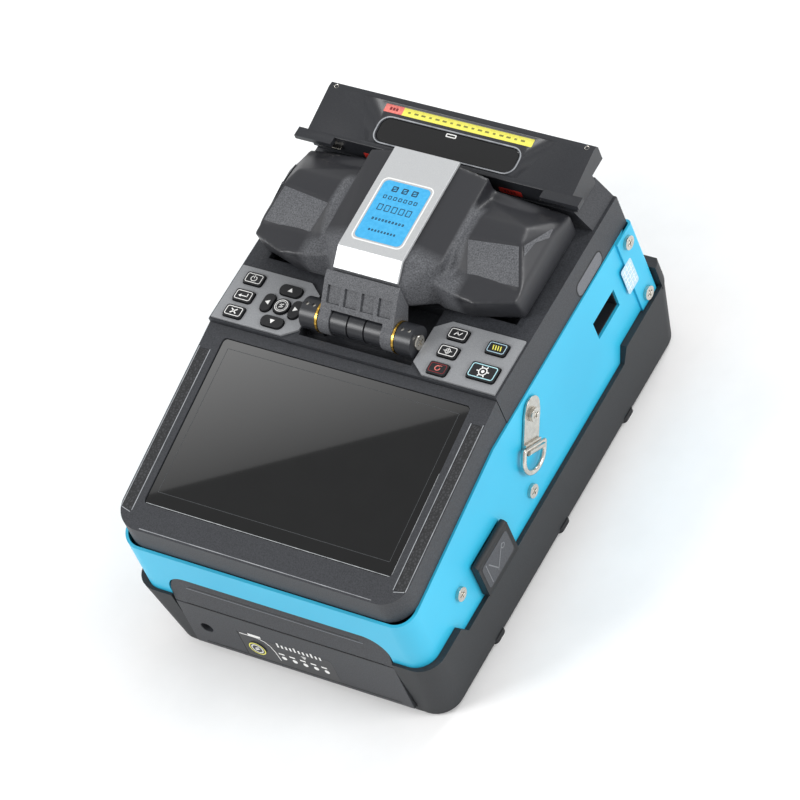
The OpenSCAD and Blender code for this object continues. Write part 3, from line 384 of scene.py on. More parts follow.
# Fine spark-eroded grain of a moulded ABS cover
GRAINED_ABS = grained("grained_abs", "#26282c", "#393b40", 0.5, 0.55, 0.05)
# The same plastic without grain, satin where the mould was polished
SATIN_ABS = grained("satin_abs", "#25262a", "#2c2e32", 0.34, 0.5, 0.01)
# Fine two-tone speckle on the windshield's matte panels and neck
SPECKLED_ABS = grained("speckled_abs", "#414246", "#717377", 0.6, 0.5, 0.09, contrast=(0.36, 0.74))
# Thermoplastic bumper skin, dull, with a little dust
BUMPER_RUBBER = grained("bumper_elastomer", "#1a1d20", "#26292d", 0.62, 0.45, 0.05)
FOOT_RUBBER = grained("foot_rubber", "#1b1c1e", "#26272a", 0.75, 0.5, 0.05)
GRIP_RUBBER = leather_grain()
# Cover glass: black print behind clear glass
PRINTED_GLASS = grained("back_printed_glass", "#060708", "#090a0b", 0.02, 12.0, 0.0)
LCD_SURFACE = grained("unlit_display", "#060606", "#080808", 0.04, 14.0, 0.0)
# Silver lacquer on the keypad plates: bright, with a satin haze
SILVER_LACQUER = grained("silver_lacquer", "#8c8e91", "#9a9c9f", 0.42, 0.35, 0.01, metallic=0.2)
PLATE_METAL = grained("satin_zinc_plate", "#c2c4c6", "#cccecf", 0.34, 0.3, 0.01, metallic=0.35)
KEY_RUBBER = grained("key_rubber", "#141517", "#1c1d20", 0.42, 0.4, 0.02)
NICKEL = grained("nickel_plate", "#c4c0b8", "#d6d2ca", 0.24, 1.8, 0.01, metallic=1.0)
STEEL = brushed("ground_steel", "#a6a8aa", 0.3)
BRASS = brushed("turned_brass", "#c9a24c", 0.26)
CAST_ALLOY = grained("cast_alloy", "#7c8084", "#8c9094", 0.5, 1.2, 0.05, metallic=0.9)
MACHINED_ALLOY = brushed("machined_alloy", "#9a9ea2", 0.32)
CERAMIC = grained("zirconia_ceramic", "#e4dfd4", "#ece8de", 0.3, 2.0, 0.01)
BOARD = grained("solder_mask_board", "#155c32", "#1d6f3d", 0.35, 3.0, 0.02)
SOCKET_METAL = brushed("tinned_socket", "#b2b5b8", 0.3)
SMOKED_WINDOW = clear_window()
WHITE_INK = grained("white_ink", "#e9e9e7", "#f6f6f4", 0.5, 0.4, 0.0)
RED_INK = grained("red_ink", "#b3261f", "#cc3a30", 0.5, 0.6, 0.0)
DARK_RED_INK = grained("dark_red_ink", "#6e1c22", "#84262c", 0.5, 0.6, 0.0)
OLIVE_INK = grained("olive_ink", "#77763a", "#8c8a48", 0.5, 0.6, 0.0)
AQUA_INK = grained("aqua_ink", "#9fdbe6", "#c6eef4", 0.5, 0.6, 0.0)
YELLOW_INK = grained("yellow_ink", "#e9e25a", "#f4ee70", 0.45, 1.0, 0.0)
CORAL_INK = grained("coral_ink", "#e0716a", "#ee8a80", 0.45, 1.0, 0.0)
LABEL_BLUE = grained("label_blue_print", "#3aa6dc", "#48b2e6", 0.38, 1.5, 0.0)
LABEL_INK = grained("label_dark_ink", "#16344a", "#1d4058", 0.45, 0.8, 0.0)
PALE_FILM = grained("pale_film", "#a9c9d8", "#b8d6e4", 0.35, 1.2, 0.0)
RIM_ABS = grained("rim_abs", "#5c5e63", "#6b6d72", 0.46, 0.5, 0.03)
# Faint print seen through the black glass, and a painted highlight along its front and right edges, where
# light catches them
GLASS_LINE = grained("glass_outline_print", "#35373a", "#3d3f42", 0.3, 2.0, 0.0)
GLASS_EDGE_HIGHLIGHT = grained("painted_glass_edge_highlight", "#8f9295", "#b9bcbe", 0.4, 3.0, 0.0)
# Painted highlight: a light line laid on ridges and edges of black plastic, where light catches them
PAINTED_EDGE_HIGHLIGHT = grained("painted_edge_highlight", "#85888c", "#a9acb0", 0.3, 6.0, 0.0)
PANEL_INK = grained("dark_panel_print", "#1f2023", "#26272a", 0.36, 0.6, 0.0)
SEAM_INK = grained("dark_seam", "#0d0e0f", "#131416", 0.6, 0.6, 0.0)
FLAP_RUBBER = grained("moulded_flap_rubber", "#131416", "#1c1d20", 0.55, 0.5, 0.04)
FLAP_PANEL = grained("grained_flap_panel", "#3e4044", "#4c4e53", 0.6, 0.5, 0.04)
RAISED_SIGN = grained("raised_flap_sign", "#6c6e72", "#7c7e82", 0.5, 0.5, 0.02)

CAD_FINISH = {
    "rubber_feet": FOOT_RUBBER, "chassis_frame": CAST_ALLOY, "main_board": BOARD, "lcd_panel": LCD_SURFACE,
    "key_board": BOARD, "side_socket": SATIN_ABS, "usb_ports": SOCKET_METAL, "hinge_shaft": STEEL,
    "hinge_screws": NICKEL, "splice_stage": MACHINED_ALLOY,
    "v_groove_blocks": CERAMIC, "electrodes": STEEL, "objective_lenses": SATIN_ABS,
    "fiber_holders": CAST_ALLOY, "heater_rests": SATIN_ABS, "heater_trough": MACHINED_ALLOY,
    "lid_hinge_pin": STEEL, "heater_clamps": STEEL, "sheath_clamp_left": SATIN_ABS,
    "sheath_clamp_right": SATIN_ABS, "battery_pack": SATIN_ABS,
}


# How far the edges of the CAD's own pieces are broken, in millimetres
BROKEN_EDGE = 0.15


def finish_cad_nodes():
    """The CAD's own pieces that stay: a finish, and edges broken by a live bevel."""
    for node, finish in CAD_FINISH.items():
        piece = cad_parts[node]
        piece.data.materials.clear()
        piece.data.materials.append(finish)
        weld = piece.modifiers.new("weld", "WELD")
        weld.merge_threshold = WELD_DISTANCE * MM
        bevel = piece.modifiers.new("bevel", "BEVEL")
        bevel.width = BROKEN_EDGE * MM
        bevel.segments = 1
        bevel.limit_method = "ANGLE"
        bevel.angle_limit = math.radians(40)


# ---- Printed marks ----------------------------------------------------------------------------------
PRINT_THICK = 0.06


def painted(piece, ink):
    """The piece with one finish."""
    piece.data.materials.clear()
    piece.data.materials.append(ink)
    return piece


def printed_bar(across, along, width, length, ink, turn=0.0, corner=0.0, thick=PRINT_THICK):
    """A printed bar, level at the origin's height, turned about its middle."""
    bar = sheet("bar", (0, 0, -thick / 3), (width, length), corner, thick, 4)
    place(bar, Matrix.Translation(Vector((across, along, 0)) * MM)
          @ Matrix.Rotation(math.radians(turn), 4, "Z"))
    return painted(bar, ink)


def printed_line(start, end, width, ink, thick=PRINT_THICK):
    """A printed stroke from one point to another."""
    run = Vector(end) - Vector(start)
    middle = (Vector(end) + Vector(start)) / 2
    return printed_bar(middle.x, middle.y, run.length, width, ink, math.degrees(math.atan2(run.y, run.x)),
                       thick=thick)


def printed_ring(across, along, width, length, corner, line, ink, thick=PRINT_THICK):
    """A printed outline with round corners."""
    ring = frame_ring("ring", (across, along, -thick / 3), (width, length), corner, line, thick)
    return painted(ring, ink)


def printed_circle(across, along, radius, line, ink, thick=PRINT_THICK, sides=28):
    """A printed circle; a line as wide as the radius fills it."""
    bpy.ops.mesh.primitive_circle_add(vertices=sides, radius=radius * MM, fill_type="NGON",
                                      location=Vector((across, along, -thick / 3)) * MM)
    disc = settle(bpy.context.object, "circle")
    if line < radius:
        shape_all(disc, bpy.ops.mesh.inset, thickness=line * MM)
        shape(disc, bpy.ops.mesh.delete, type="FACE")
    shape_all(disc, bpy.ops.mesh.extrude_region_move, TRANSFORM_OT_translate={"value": (0, 0, thick * MM)})
    shape_all(disc, bpy.ops.mesh.normals_make_consistent)
    return painted(disc, ink)


def printed_arrow(across, along, size, turn, ink):
    """A printed triangle that points up before it is turned."""
    bpy.ops.mesh.primitive_circle_add(vertices=3, radius=size * MM, fill_type="NGON")
    arrow = settle(bpy.context.object, "arrow")
    shape_all(arrow, bpy.ops.mesh.extrude_region_move,
              TRANSFORM_OT_translate={"value": (0, 0, PRINT_THICK * MM)})
    shape_all(arrow, bpy.ops.mesh.normals_make_consistent)
    place(arrow, Matrix.Translation(Vector((across, along, -PRINT_THICK / 3)) * MM)
          @ Matrix.Rotation(math.radians(turn), 4, "Z"))
    return painted(arrow, ink)


# Level marks carried onto the display's slope, the front and the right side
DISPLAY_FRONT = Vector((0, -101, 77.1))
DISPLAY_TILT = math.radians(10.39)
SLOPE = Matrix.Translation(DISPLAY_FRONT * MM) @ Matrix.Rotation(DISPLAY_TILT, 4, "X")
FRONT = Matrix.Rotation(math.radians(90), 4, "X")
RIGHT = Matrix(((0, 0, 1, 0), (1, 0, 0, 0), (0, 1, 0, 0), (0, 0, 0, 1)))


def carried(parts, matrix, shift=(0, 0, 0)):
    """Moves level parts by a shift in millimetres, then by the matrix."""
    for part in parts:
        place(part, matrix @ Matrix.Translation(Vector(shift) * MM))
    return parts


# ---- Shell and tray ---------------------------------------------------------------------------------
def shell_pieces():
    tray = cad_copy("base_tray", "bumper_tray", 0.9, 3)
    finish_piece(tray, "case", "bumper_rubber", BUMPER_RUBBER)
    wrap = cad_copy("wrap_panel", "blue_wrap", 0.3, 2)
    finish_piece(wrap, "case", "blue_sheet", BLUE_SHEET)
    rear = cad_copy("rear_panel", "blue_rear_panel", 0.25, 2)
    finish_piece(rear, "case", "blue_sheet", BLUE_SHEET)
    screws = cad_copy("side_screws", "side_screw_set", 0.45, 3)
    finish_piece(screws, "case", "nickel", NICKEL)
    grid = [printed_bar(0, 0, 8.4, 14.5, PALE_FILM, 0, 1.2)]
    grid += [printed_bar(0, i * 2.3, 7.2, 0.3, WHITE_INK, thick=0.12) for i in range(-2, 3)]
    grid += [printed_bar(i * 2.1, 0, 0.3, 12.4, WHITE_INK, thick=0.12) for i in (-1, 0, 1)]
    sticker = joined("flange_sticker", carried(grid, RIGHT, (80.6, 59.5, 68.76)))
    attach(sticker, "case")


# ---- Display ----------------------------------------------------------------------------------------
# Distance up the slope to the glass's front edge and to the middle of the active area, and its size
GLASS_START = 13.2
ACTIVE_MIDDLE = 51.5
ACTIVE_WIDTH, ACTIVE_LENGTH = 108, 64.8
# How far the glass lies under the slope
GLASS_SINK = 0.6


def display_pieces():
    bezel = cad_copy("monitor_bezel", "display_moulding", 0.5, 2, 40)
    finish_piece(bezel, "case", "textured_abs", GRAINED_ABS)
    glass = cad_copy("screen_glass", "cover_glass", 0.15, 1)
    finish_piece(glass, "case", "screen_glass", PRINTED_GLASS)
    # The faint outline print, and painted highlights along the glass's front and right edges
    marks = [printed_ring(0, ACTIVE_MIDDLE, ACTIVE_WIDTH, ACTIVE_LENGTH, 0.4, 0.22, GLASS_LINE, 0.03),
             printed_bar(0, GLASS_START + 0.45, 113.6, 0.28, GLASS_EDGE_HIGHLIGHT, thick=0.03),
             printed_bar(57.2, 36, 0.22, 45, GLASS_EDGE_HIGHLIGHT, thick=0.03)]
    carried(marks, SLOPE, (0, 0, -GLASS_SINK))
    lines = joined("glass_outline", marks)
    finish_piece(lines, "case", "screen_glass")
    strips = cad_copy("grip_strips", "grip_strip_pair", 0.1, 1)
    finish_piece(strips, "case", "grip_rubber", GRIP_RUBBER)
    # Painted highlights along the grip strips' ridges and along the moulding's front edge
    edge_highlights = []
    for side in (-1, 1):
        edge_highlights += [printed_bar(side * 60.85, 45, 0.34, 72.4, PAINTED_EDGE_HIGHLIGHT, thick=0.16),
                    printed_bar(side * 66.1, 45.5, 0.3, 72.4, PAINTED_EDGE_HIGHLIGHT, thick=0.16),
                    printed_bar(side * 63.5, 8.6, 4.6, 0.3, PAINTED_EDGE_HIGHLIGHT, side * 14, thick=0.16)]
    edge_highlights.append(printed_bar(0, 2.5, 108, 0.3, PAINTED_EDGE_HIGHLIGHT, thick=0.1))
    carried(edge_highlights, SLOPE)
    finish_piece(joined("grip_edge_highlights", edge_highlights), "case", "black_abs")
    dot = carried([printed_circle(0, 0, 0.7, 0.7, GLASS_LINE)], SLOPE, (5.2, 89.2, 0))[0]
    finish_piece(dot, "case", "screen_glass")
    dot.name = dot.data.name = "light_sensor"


# ---- Top cover and keys -----------------------------------------------------------------------------
def outline(width, length, corner, ink=None, line=0.3):
    """The printed outline just inside a key's edge."""
    return printed_ring(0, 0, width - 1.1, length - 1.1, corner, line, ink or WHITE_INK)


def key_marks():
    """Each key's printed outline and sign, level about the key's middle."""
    small, long_key = (8.4, 5.4, 0.9), (8.8, 5.6, 0.9)
    return {
        "key_power": [outline(*small), printed_ring(0, -0.1, 2.9, 2.5, 1.2, 0.32, WHITE_INK),
                      printed_bar(0, 1.0, 1.1, 1.0, KEY_RUBBER, thick=0.09),
                      printed_bar(0, 0.8, 0.34, 1.4, WHITE_INK, thick=0.1)],
        "key_enter": [outline(*small), printed_bar(0.4, -0.3, 3.0, 0.4, WHITE_INK),
                      printed_bar(1.75, 0.35, 0.4, 1.6, WHITE_INK),
                      printed_arrow(-1.4, -0.3, 0.85, 90, WHITE_INK)],
        "key_cancel": [outline(*small), printed_bar(0, 0, 3.4, 0.5, WHITE_INK, 38),
                       printed_bar(0, 0, 3.4, 0.5, WHITE_INK, -38)],
        "key_up": [printed_arrow(0, -0.15, 1.3, 0, WHITE_INK)],
        "key_down": [printed_arrow(0, 0.15, 1.3, 180, WHITE_INK)],
        "key_left": [printed_arrow(0.15, 0, 1.3, 90, WHITE_INK)],
        "key_right": [printed_arrow(-0.15, 0, 1.3, -90, WHITE_INK)],
        "key_centre": [printed_circle(0, 0, 2.9, 0.32, WHITE_INK), printed_circle(0, 0, 2.2, 0.2, WHITE_INK),
                       printed_bar(0, 0.55, 1.9, 0.36, WHITE_INK, 25),
                       printed_bar(0, -0.55, 1.9, 0.36, WHITE_INK, 25),
                       printed_bar(0, 0, 0.36, 1.9, WHITE_INK, 25)],
        "key_arc": [outline(*small), printed_bar(-0.9, 0.1, 2.0, 0.42, WHITE_INK, 52),
                    printed_bar(0.1, 0.0, 2.0, 0.42, WHITE_INK, -40),
                    printed_bar(1.1, 0.1, 2.0, 0.42, WHITE_INK, 52)],
        "key_focus": [outline(*small), printed_circle(0, 0, 1.2, 0.28, WHITE_INK),
                      printed_bar(0, 0, 3.8, 0.26, WHITE_INK), printed_bar(0, 0, 0.26, 3.2, WHITE_INK)],
        "key_reset": [outline(*small, DARK_RED_INK), printed_circle(0, 0, 1.25, 0.36, CORAL_INK),
                      printed_bar(1.1, 0.6, 0.9, 0.9, KEY_RUBBER, thick=0.09),
                      printed_arrow(0.9, 0.9, 0.75, -60, CORAL_INK)],
        "key_heat": [outline(*long_key, PALE_FILM)] + [
            printed_bar(x, 0, 0.46, 2.2, YELLOW_INK, 14) for x in (-1.6, -0.5, 0.6, 1.7)],
        "key_set": [outline(12.4, 7.4, 1.1, AQUA_INK, 0.36), printed_circle(0, 0, 1.9, 0.42, WHITE_INK),
                    printed_circle(0, 0, 0.7, 0.7, WHITE_INK)] + [
            printed_bar(2.3 * math.cos(a), 2.3 * math.sin(a), 0.9, 0.5, WHITE_INK, math.degrees(a))
            for a in (i * math.pi / 3 for i in range(6))],
    }


def key_pieces():
    for node, marks in key_marks().items():
        low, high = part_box(node)
        cap = painted(cad_copy(node, "cap_of_" + node, 0.22, 2), KEY_RUBBER)
        middle = (low + high) / 2
        carried(marks, Matrix.Translation((middle.x, middle.y, high.z)))
        finish_piece(joined(cap.name, [cap] + marks), node, "key_rubber")


def cover_pieces():
    cover = cad_copy("top_cover", "deck_cover", 0.5, 2)
    finish_piece(cover, "case", "textured_abs", GRAINED_ABS)
    plates = cad_copy("keypad_plates", "keypad_plate_pair", 0.2, 1)
    finish_piece(plates, "case", "satin_silver", SILVER_LACQUER)
    plugs = []
    for side in (-1, 1):
        plug = painted(sheet("plug", (0, 0, -0.4), (19.6, 6.8), 2.6, 0.5, 6), RIM_ABS)
        round_edges(plug, 0.2, 2)
        seam = printed_ring(0, 0, 20.8, 8.0, 3.2, 0.6, SEAM_INK)
        turned = Matrix.Scale(side, 4, (1, 0, 0)) @ RIGHT
        parts = carried([plug, seam], turned, (62, 83.5, 67.02))
        if side < 0:
            for part in parts:
                shape_all(part, bpy.ops.mesh.flip_normals)
        plugs += parts
    finish_piece(joined("rim_plugs", plugs), "case", "textured_abs")


# ---- Windshield -------------------------------------------------------------------------------------
def recess(piece, test, edge, depth):
    """Insets the faces that pass the test and sinks them."""
    pick(piece, test)
    shape(piece, bpy.ops.mesh.inset, thickness=edge * MM, depth=-depth * MM, use_even_offset=True)


def panel_from(piece, test, edge, lift, thick=0.9):
    """A textured panel over one facet of the piece: its outline set in by an edge and raised a little."""
    copy = bpy.data.objects.new("panel_source", piece.data.copy())
    bpy.context.scene.collection.objects.link(copy)
    pick(copy, test)
    shape(copy, bpy.ops.mesh.inset, thickness=edge * MM)
    shape(copy, bpy.ops.mesh.separate, type="SELECTED")
    panel = next(o for o in bpy.context.selected_objects if o is not copy)
    bpy.data.objects.remove(copy)
    normal = panel.data.polygons[0].normal.copy()
    place(panel, Matrix.Translation(normal * lift * MM))
    apply_modifier(panel, "SOLIDIFY", thickness=thick * MM, offset=-1)
    shape_all(panel, bpy.ops.mesh.dissolve_limited, angle_limit=math.radians(2))
    apply_modifier(panel, "BEVEL", width=0.35 * MM, segments=2, limit_method="ANGLE",
                   angle_limit=math.radians(40))
    shade(panel, 50)
    return painted(panel, SPECKLED_ABS)


# The remesh's cell in millimetres, and the passes that soften it into moulded facets
REMESH_CELL = 0.85
SOFTENING_PASSES = 9
WASHER_RADIUS, WASHER_THICK, WASHER_BORE = 6.7, 0.9, 3.1


def windshield_pieces():
    for node in ("hinge_knuckles", "damper_barrel", "lid_hinge_ears"):
        finish_piece(cad_copy(node, node + "_moulded", 0.5, 2), "case", "black_abs", SATIN_ABS)
    shell = cad_copy("windshield_shell", "windshield_cover", 0)
    panels = []
    for side in (-1, 1):
        panels.append(panel_from(shell, lambda c, n: c.x * side > 0.034 and 0.03 < c.y < 0.046
                                 and -0.6 < n.y < -0.3 and n.z > 0.7, 0.9, 0.12))
        panels.append(panel_from(shell, lambda c, n: c.x * side > 0.056 and n.x * side > 0.7
                                 and n.z > 0.3 and c.z > 0.111, 1.3, 0.3))
    apply_modifier(shell, "REMESH", mode="VOXEL", voxel_size=REMESH_CELL * MM)
    apply_modifier(shell, "SMOOTH", factor=0.5, iterations=SOFTENING_PASSES)
    shade(shell, 60)
    finish_piece(shell, "windshield", "black_abs", SHELL_PLASTIC)
    finish_piece(joined("windshield_panels", panels), "windshield", "textured_abs")
    arm = cad_copy("windshield_arm", "windshield_neck", 0.4, 2)
    finish_piece(arm, "windshield", "textured_abs", SPECKLED_ABS)
    washers = []
    low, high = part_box("brass_washers")
    middle = (low + high) / 2 / MM
    for side in (-1, 1):
        start, end = side * (high.x / MM - WASHER_THICK), side * high.x / MM
        ring = rod("ring", (start, middle.y, middle.z), (end, middle.y, middle.z), WASHER_RADIUS, 96)
        carve(ring, rod("hole", (start - 1, middle.y, middle.z), (end + 1, middle.y, middle.z),
                        WASHER_BORE, 64))
        washers.append(shade(ring, 30))
    finish_piece(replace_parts(joined("brass_washer_pair", washers), "brass_washers"), "case", "brass", BRASS)
    name_plate_pieces()


# Middle and tilt of the label on the name plate
LABEL_MIDDLE = Vector((0, 41.9, 122.7))
LABEL_TILT = math.radians(2.69)


def name_plate_pieces():
    plate = cad_copy("name_plate", "name_plate_bar", 0.3, 2)
    finish_piece(plate, "windshield", "plate_metal", PLATE_METAL)
    marks = [printed_bar(0, 0, 21.6, 28.0, LABEL_BLUE, 0, 2.2, 0.1),
             printed_ring(0, 0, 24.0, 30.4, 2.8, 0.55, WHITE_INK, 0.1)]
    for x in (-4.6, 0, 4.6):
        marks += [printed_ring(x, 10.6, 2.6, 2.6, 0.4, 0.5, LABEL_INK, 0.14),
                  printed_bar(x, 10.6, 3.1, 0.4, LABEL_INK, 30, thick=0.15)]
    rows = [(6.4, 7, 1.5, 1.7, 2.35), (1.4, 5, 2.3, 3.0, 3.3), (-4.2, 10, 0.9, 1.1, 1.55),
            (-9.4, 9, 0.8, 1.0, 1.45)]
    for along, count, width, tall, pitch in rows:
        for i in range(count):
            across = (i - (count - 1) / 2) * pitch
            marks.append(printed_ring(across, along, width, tall, 0.22, 0.34, LABEL_INK, 0.14))
    carried(marks, Matrix.Translation(LABEL_MIDDLE * MM) @ Matrix.Rotation(LABEL_TILT, 4, "X"))
    finish_piece(joined("name_plate_label", marks), "windshield", "satin_silver")


# ---- Oven lid ---------------------------------------------------------------------------------------
# The floor of the lid's recess: its front middle and its tilt
LID_FLOOR_FRONT = Vector((0, 76, 115.1))
LID_TILT = math.radians(6.7)
LID_FLOOR = Matrix.Translation(LID_FLOOR_FRONT * MM) @ Matrix.Rotation(LID_TILT, 4, "X")


# How much wider the recess is at its top than at its floor
LID_FLARE = 4.1


def oven_pieces():
    lid = cad_copy("heater_lid", "oven_lid_moulding", 0.45, 2)
    hollow = block("hollow", (-35, 0, 0), (35, 19.3, 13))
    pick(hollow, lambda c, n: n.z > 0.9)
    shape(hollow, bpy.ops.transform.resize, value=(LID_FLARE, 1, 1))
    place(hollow, LID_FLOOR)
    carve(lid, hollow)
    finish_piece(shade(lid, 30), "oven_lid", "black_abs", SATIN_ABS)
    window = cad_copy("lid_window", "oven_window", 0.2, 1)
    finish_piece(window, "oven_lid", "clear_window", SMOKED_WINDOW)
    # A painted highlight round the window's rim, and a small white printed ring
    rim = carried([printed_ring(0, 0, 66.4, 12.8, 4.8, 0.5, PAINTED_EDGE_HIGHLIGHT, 0.3),
                   printed_ring(0, 4.2, 4.6, 1.6, 0.3, 0.36, WHITE_INK, 0.3)], LID_FLOOR, (0, 6.9, 0.05))
    finish_piece(joined("window_rim", rim), "oven_lid", "clear_window")
    strip = [printed_bar(0, 0, 69, 3.6, YELLOW_INK, 0, 0.3, 0.1),
             printed_bar(-30.2, 0, 8.6, 3.62, CORAL_INK, 0, 0.3, 0.14)]
    strip += [printed_bar(-23 + i * 3.3, 0, 1.9 if i % 3 else 1.2, 0.8, OLIVE_INK, thick=0.13)
              for i in range(17)]
    strip += [printed_bar(-30.2 + x, 0, 1.0, 1.3, DARK_RED_INK, thick=0.18) for x in (-1.4, 0, 1.4)]
    carried(strip, LID_FLOOR, (0.6, 16.6, 0.02))
    finish_piece(joined("lid_strip", strip), "oven_lid", "satin_silver")
    tags = []
    for side in (-1, 1):
        tag = [printed_bar(0, 0, 10.4, 3.2, RED_INK, 0, 0.5, 0.12)]
        tag += [printed_bar(x, 0, 0.8, 1.4, DARK_RED_INK, thick=0.16) for x in (-2.6, -1.1, 0.4, 1.9)]
        tags += carried(tag, Matrix.Translation(Vector((side * 31.6, 74.4, 107.4)) * MM) @ FRONT)
    finish_piece(joined("lid_tags", tags), "oven_lid", "satin_silver")
    screws = []
    for side in (-1, 1):
        head = rod("head", (side * 58.4, 95.6, 118.0), (side * 58.4, 95.6, 118.75), 1.0, 20)
        pick(head, lambda c, n: n.z > 0.9)
        shape(head, bpy.ops.mesh.inset, thickness=0.4 * MM, depth=-0.3 * MM)
        screws.append(painted(round_edges(head, 0.12, 2), NICKEL))
        leaf = block("leaf", (side * 52 - 5.5, 72.6, 109.2), (side * 52 + 5.5, 74.3, 109.9))
        screws.append(painted(round_edges(leaf, 0.2, 2), NICKEL))
    finish_piece(joined("lid_screws", screws), "oven_lid", "nickel")


# ---- Battery ----------------------------------------------------------------------------------------
# The battery's outer face
BATTERY_FRONT = -101.8


def battery_pieces():
    face = cad_copy("battery_face", "battery_front", 0.5, 2)
    finish_piece(face, "battery", "black_abs", GRAINED_ABS)
    marks = [printed_bar(-3.8, 15.0, 44, 15.0, PANEL_INK, 0, 1.4, 0.06),
             printed_line((-25.9, 8), (-25.9, 23.6), 0.45, SEAM_INK, 0.1),
             printed_line((-46.5, 34.0), (46.5, 34.0), 0.5, SEAM_INK, 0.1),
             printed_line((-40.0, 47.9), (40.0, 47.9), 0.35, SEAM_INK, 0.1),
             printed_line((-41.5, 46.5), (41.5, 46.5), 0.3, RAISED_SIGN, 0.1),
             printed_line((-46.2, 7.2), (46.2, 7.2), 0.5, SEAM_INK, 0.1),
             printed_bar(-17.6, 23.9, 6.0, 1.3, WHITE_INK, thick=0.1)]
    route = [(-25.0, 22.9), (-16.5, 22.9), (-13.4, 21.6), (-11.4, 19.2), (-10.2, 15.5), (-9.4, 10.2)]
    marks += [printed_line(*ends, 0.42, WHITE_INK, 0.1) for ends in zip(route, route[1:])]
    for i in range(5):
        across = -6.9 + i * 5.05
        marks += [printed_circle(across, 13.0, 1.15, 1.15, WHITE_INK, 0.1, 16),
                  printed_bar(across - 0.5, 15.7, 2.6, 0.9, WHITE_INK, thick=0.1)]
    for i in range(11):
        marks.append(printed_bar(-7.0 + i * 2.0, 21.9 + (0.4 if i % 4 == 0 else 0), 0.8,
                                 2.9 if i % 4 == 0 else 2.1, WHITE_INK, thick=0.1))
    marks.append(printed_arrow(4.2, 18.6, 1.5, 180, WHITE_INK))
    carried(marks, Matrix.Translation(Vector((0, BATTERY_FRONT, 0)) * MM) @ FRONT)
    finish_piece(joined("battery_print", marks), "battery", "black_abs")
    low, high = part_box("check_button")
    button = painted(cad_copy("check_button", "gauge_button", 0.3, 2), GRAINED_ABS)
    sign = [printed_circle(0, 0, 2.8, 0.5, WHITE_INK), printed_bar(0, 0.5, 2.4, 0.5, WHITE_INK, 30),
            printed_bar(0, -0.5, 2.4, 0.5, WHITE_INK, 30), printed_circle(0, 0, 3.9, 0.5, YELLOW_INK)]
    middle = (low + high) / 2
    carried(sign, Matrix.Translation((middle.x, low.y, middle.z)) @ FRONT)
    finish_piece(joined("gauge_button", [button] + sign), "check_button", "key_rubber")


# ---- Flap and straps --------------------------------------------------------------------------------
def side_fittings():
    flap = cad_copy("usb_flap", "socket_flap", 0)
    recess(flap, lambda c, n: n.x > 0.95 and c.x > 0.071, 1.5, 0.35)
    round_edges(flap, 0.3, 2)
    shade(flap)
    painted(flap, FLAP_RUBBER)
    low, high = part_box("usb_flap")
    width, height = (high.y - low.y) / MM, (high.z - low.z) / MM
    panel = painted(sheet("panel", (0, 0, -0.2), (width - 4, height - 6), 1.6, 0.25), FLAP_PANEL)
    signs = [panel, printed_bar(-3.5, 0, 0.5, 9, RAISED_SIGN, 28, thick=0.2),
             printed_bar(1.5, 0, 0.5, 11, RAISED_SIGN, -40, thick=0.2),
             printed_circle(5.2, 2.4, 1.3, 0.4, RAISED_SIGN, thick=0.2),
             printed_bar(-7.2, 0, 0.4, 11, RAISED_SIGN, thick=0.2)]
    carried(signs, RIGHT, ((low.y + high.y) / 2 / MM, (low.z + high.z) / 2 / MM - 0.5, high.x / MM - 0.3))
    finish_piece(joined("socket_flap", [flap] + signs), "usb_flap", "grip_rubber")
    for side in ("left", "right"):
        plate = cad_copy("strap_plate_" + side, "strap_leaf_" + side, 0.2, 2)
        finish_piece(plate, "strap_plate_" + side, "nickel", NICKEL)
        ring = cad_copy("strap_ring_" + side, "strap_bow_" + side, 0)
        finish_piece(ring, "strap_ring_" + side, "nickel", NICKEL)


# ---- Camera, light, floor ---------------------------------------------------------------------------
EYE = Vector((943.83, -810.91, 1500.10))
EYE_AZIMUTH, EYE_ELEVATION, EYE_ROLL = 49.19, 49.32, -25.50
FOCAL_LENGTH = 217.3
CARD_DISTANCE = 1200
# The glow at the card's straight edge and at its far side
GLOW_NEAR, GLOW_FAR = 1.5, 4.2
# The diagonal's ends on the display, and a corner on its bright side
DIAGONAL_START, DIAGONAL_END, BRIGHT_CORNER = (-54, 19.1), (54, 83.9), (-54, 83.9)
WORLD_LIGHT = 0.6


def camera():
    """The camera looks down on the front right corner, rolled to the left."""
    azimuth, elevation, roll = (math.radians(a) for a in (EYE_AZIMUTH, EYE_ELEVATION, EYE_ROLL))
    back = Vector((math.sin(azimuth) * math.cos(elevation), -math.cos(azimuth) * math.cos(elevation),
                   math.sin(elevation)))
    right = Vector((math.cos(azimuth), math.sin(azimuth), 0))
    up = back.cross(right)
    across = right * math.cos(roll) + up * math.sin(roll)
    above = up * math.cos(roll) - right * math.sin(roll)
    lens = bpy.data.cameras.new("camera")
    lens.lens = FOCAL_LENGTH
    lens.sensor_width = 36
    lens.clip_start, lens.clip_end = 0.05, 20
    eye = bpy.data.objects.new("camera", lens)
    bpy.context.scene.collection.objects.link(eye)
    eye.matrix_world = Matrix.Translation(EYE * MM) @ Matrix(
        (across, above, back)).transposed().to_4x4()
    bpy.context.scene.camera = eye
    soft_card(eye.matrix_world.translation)


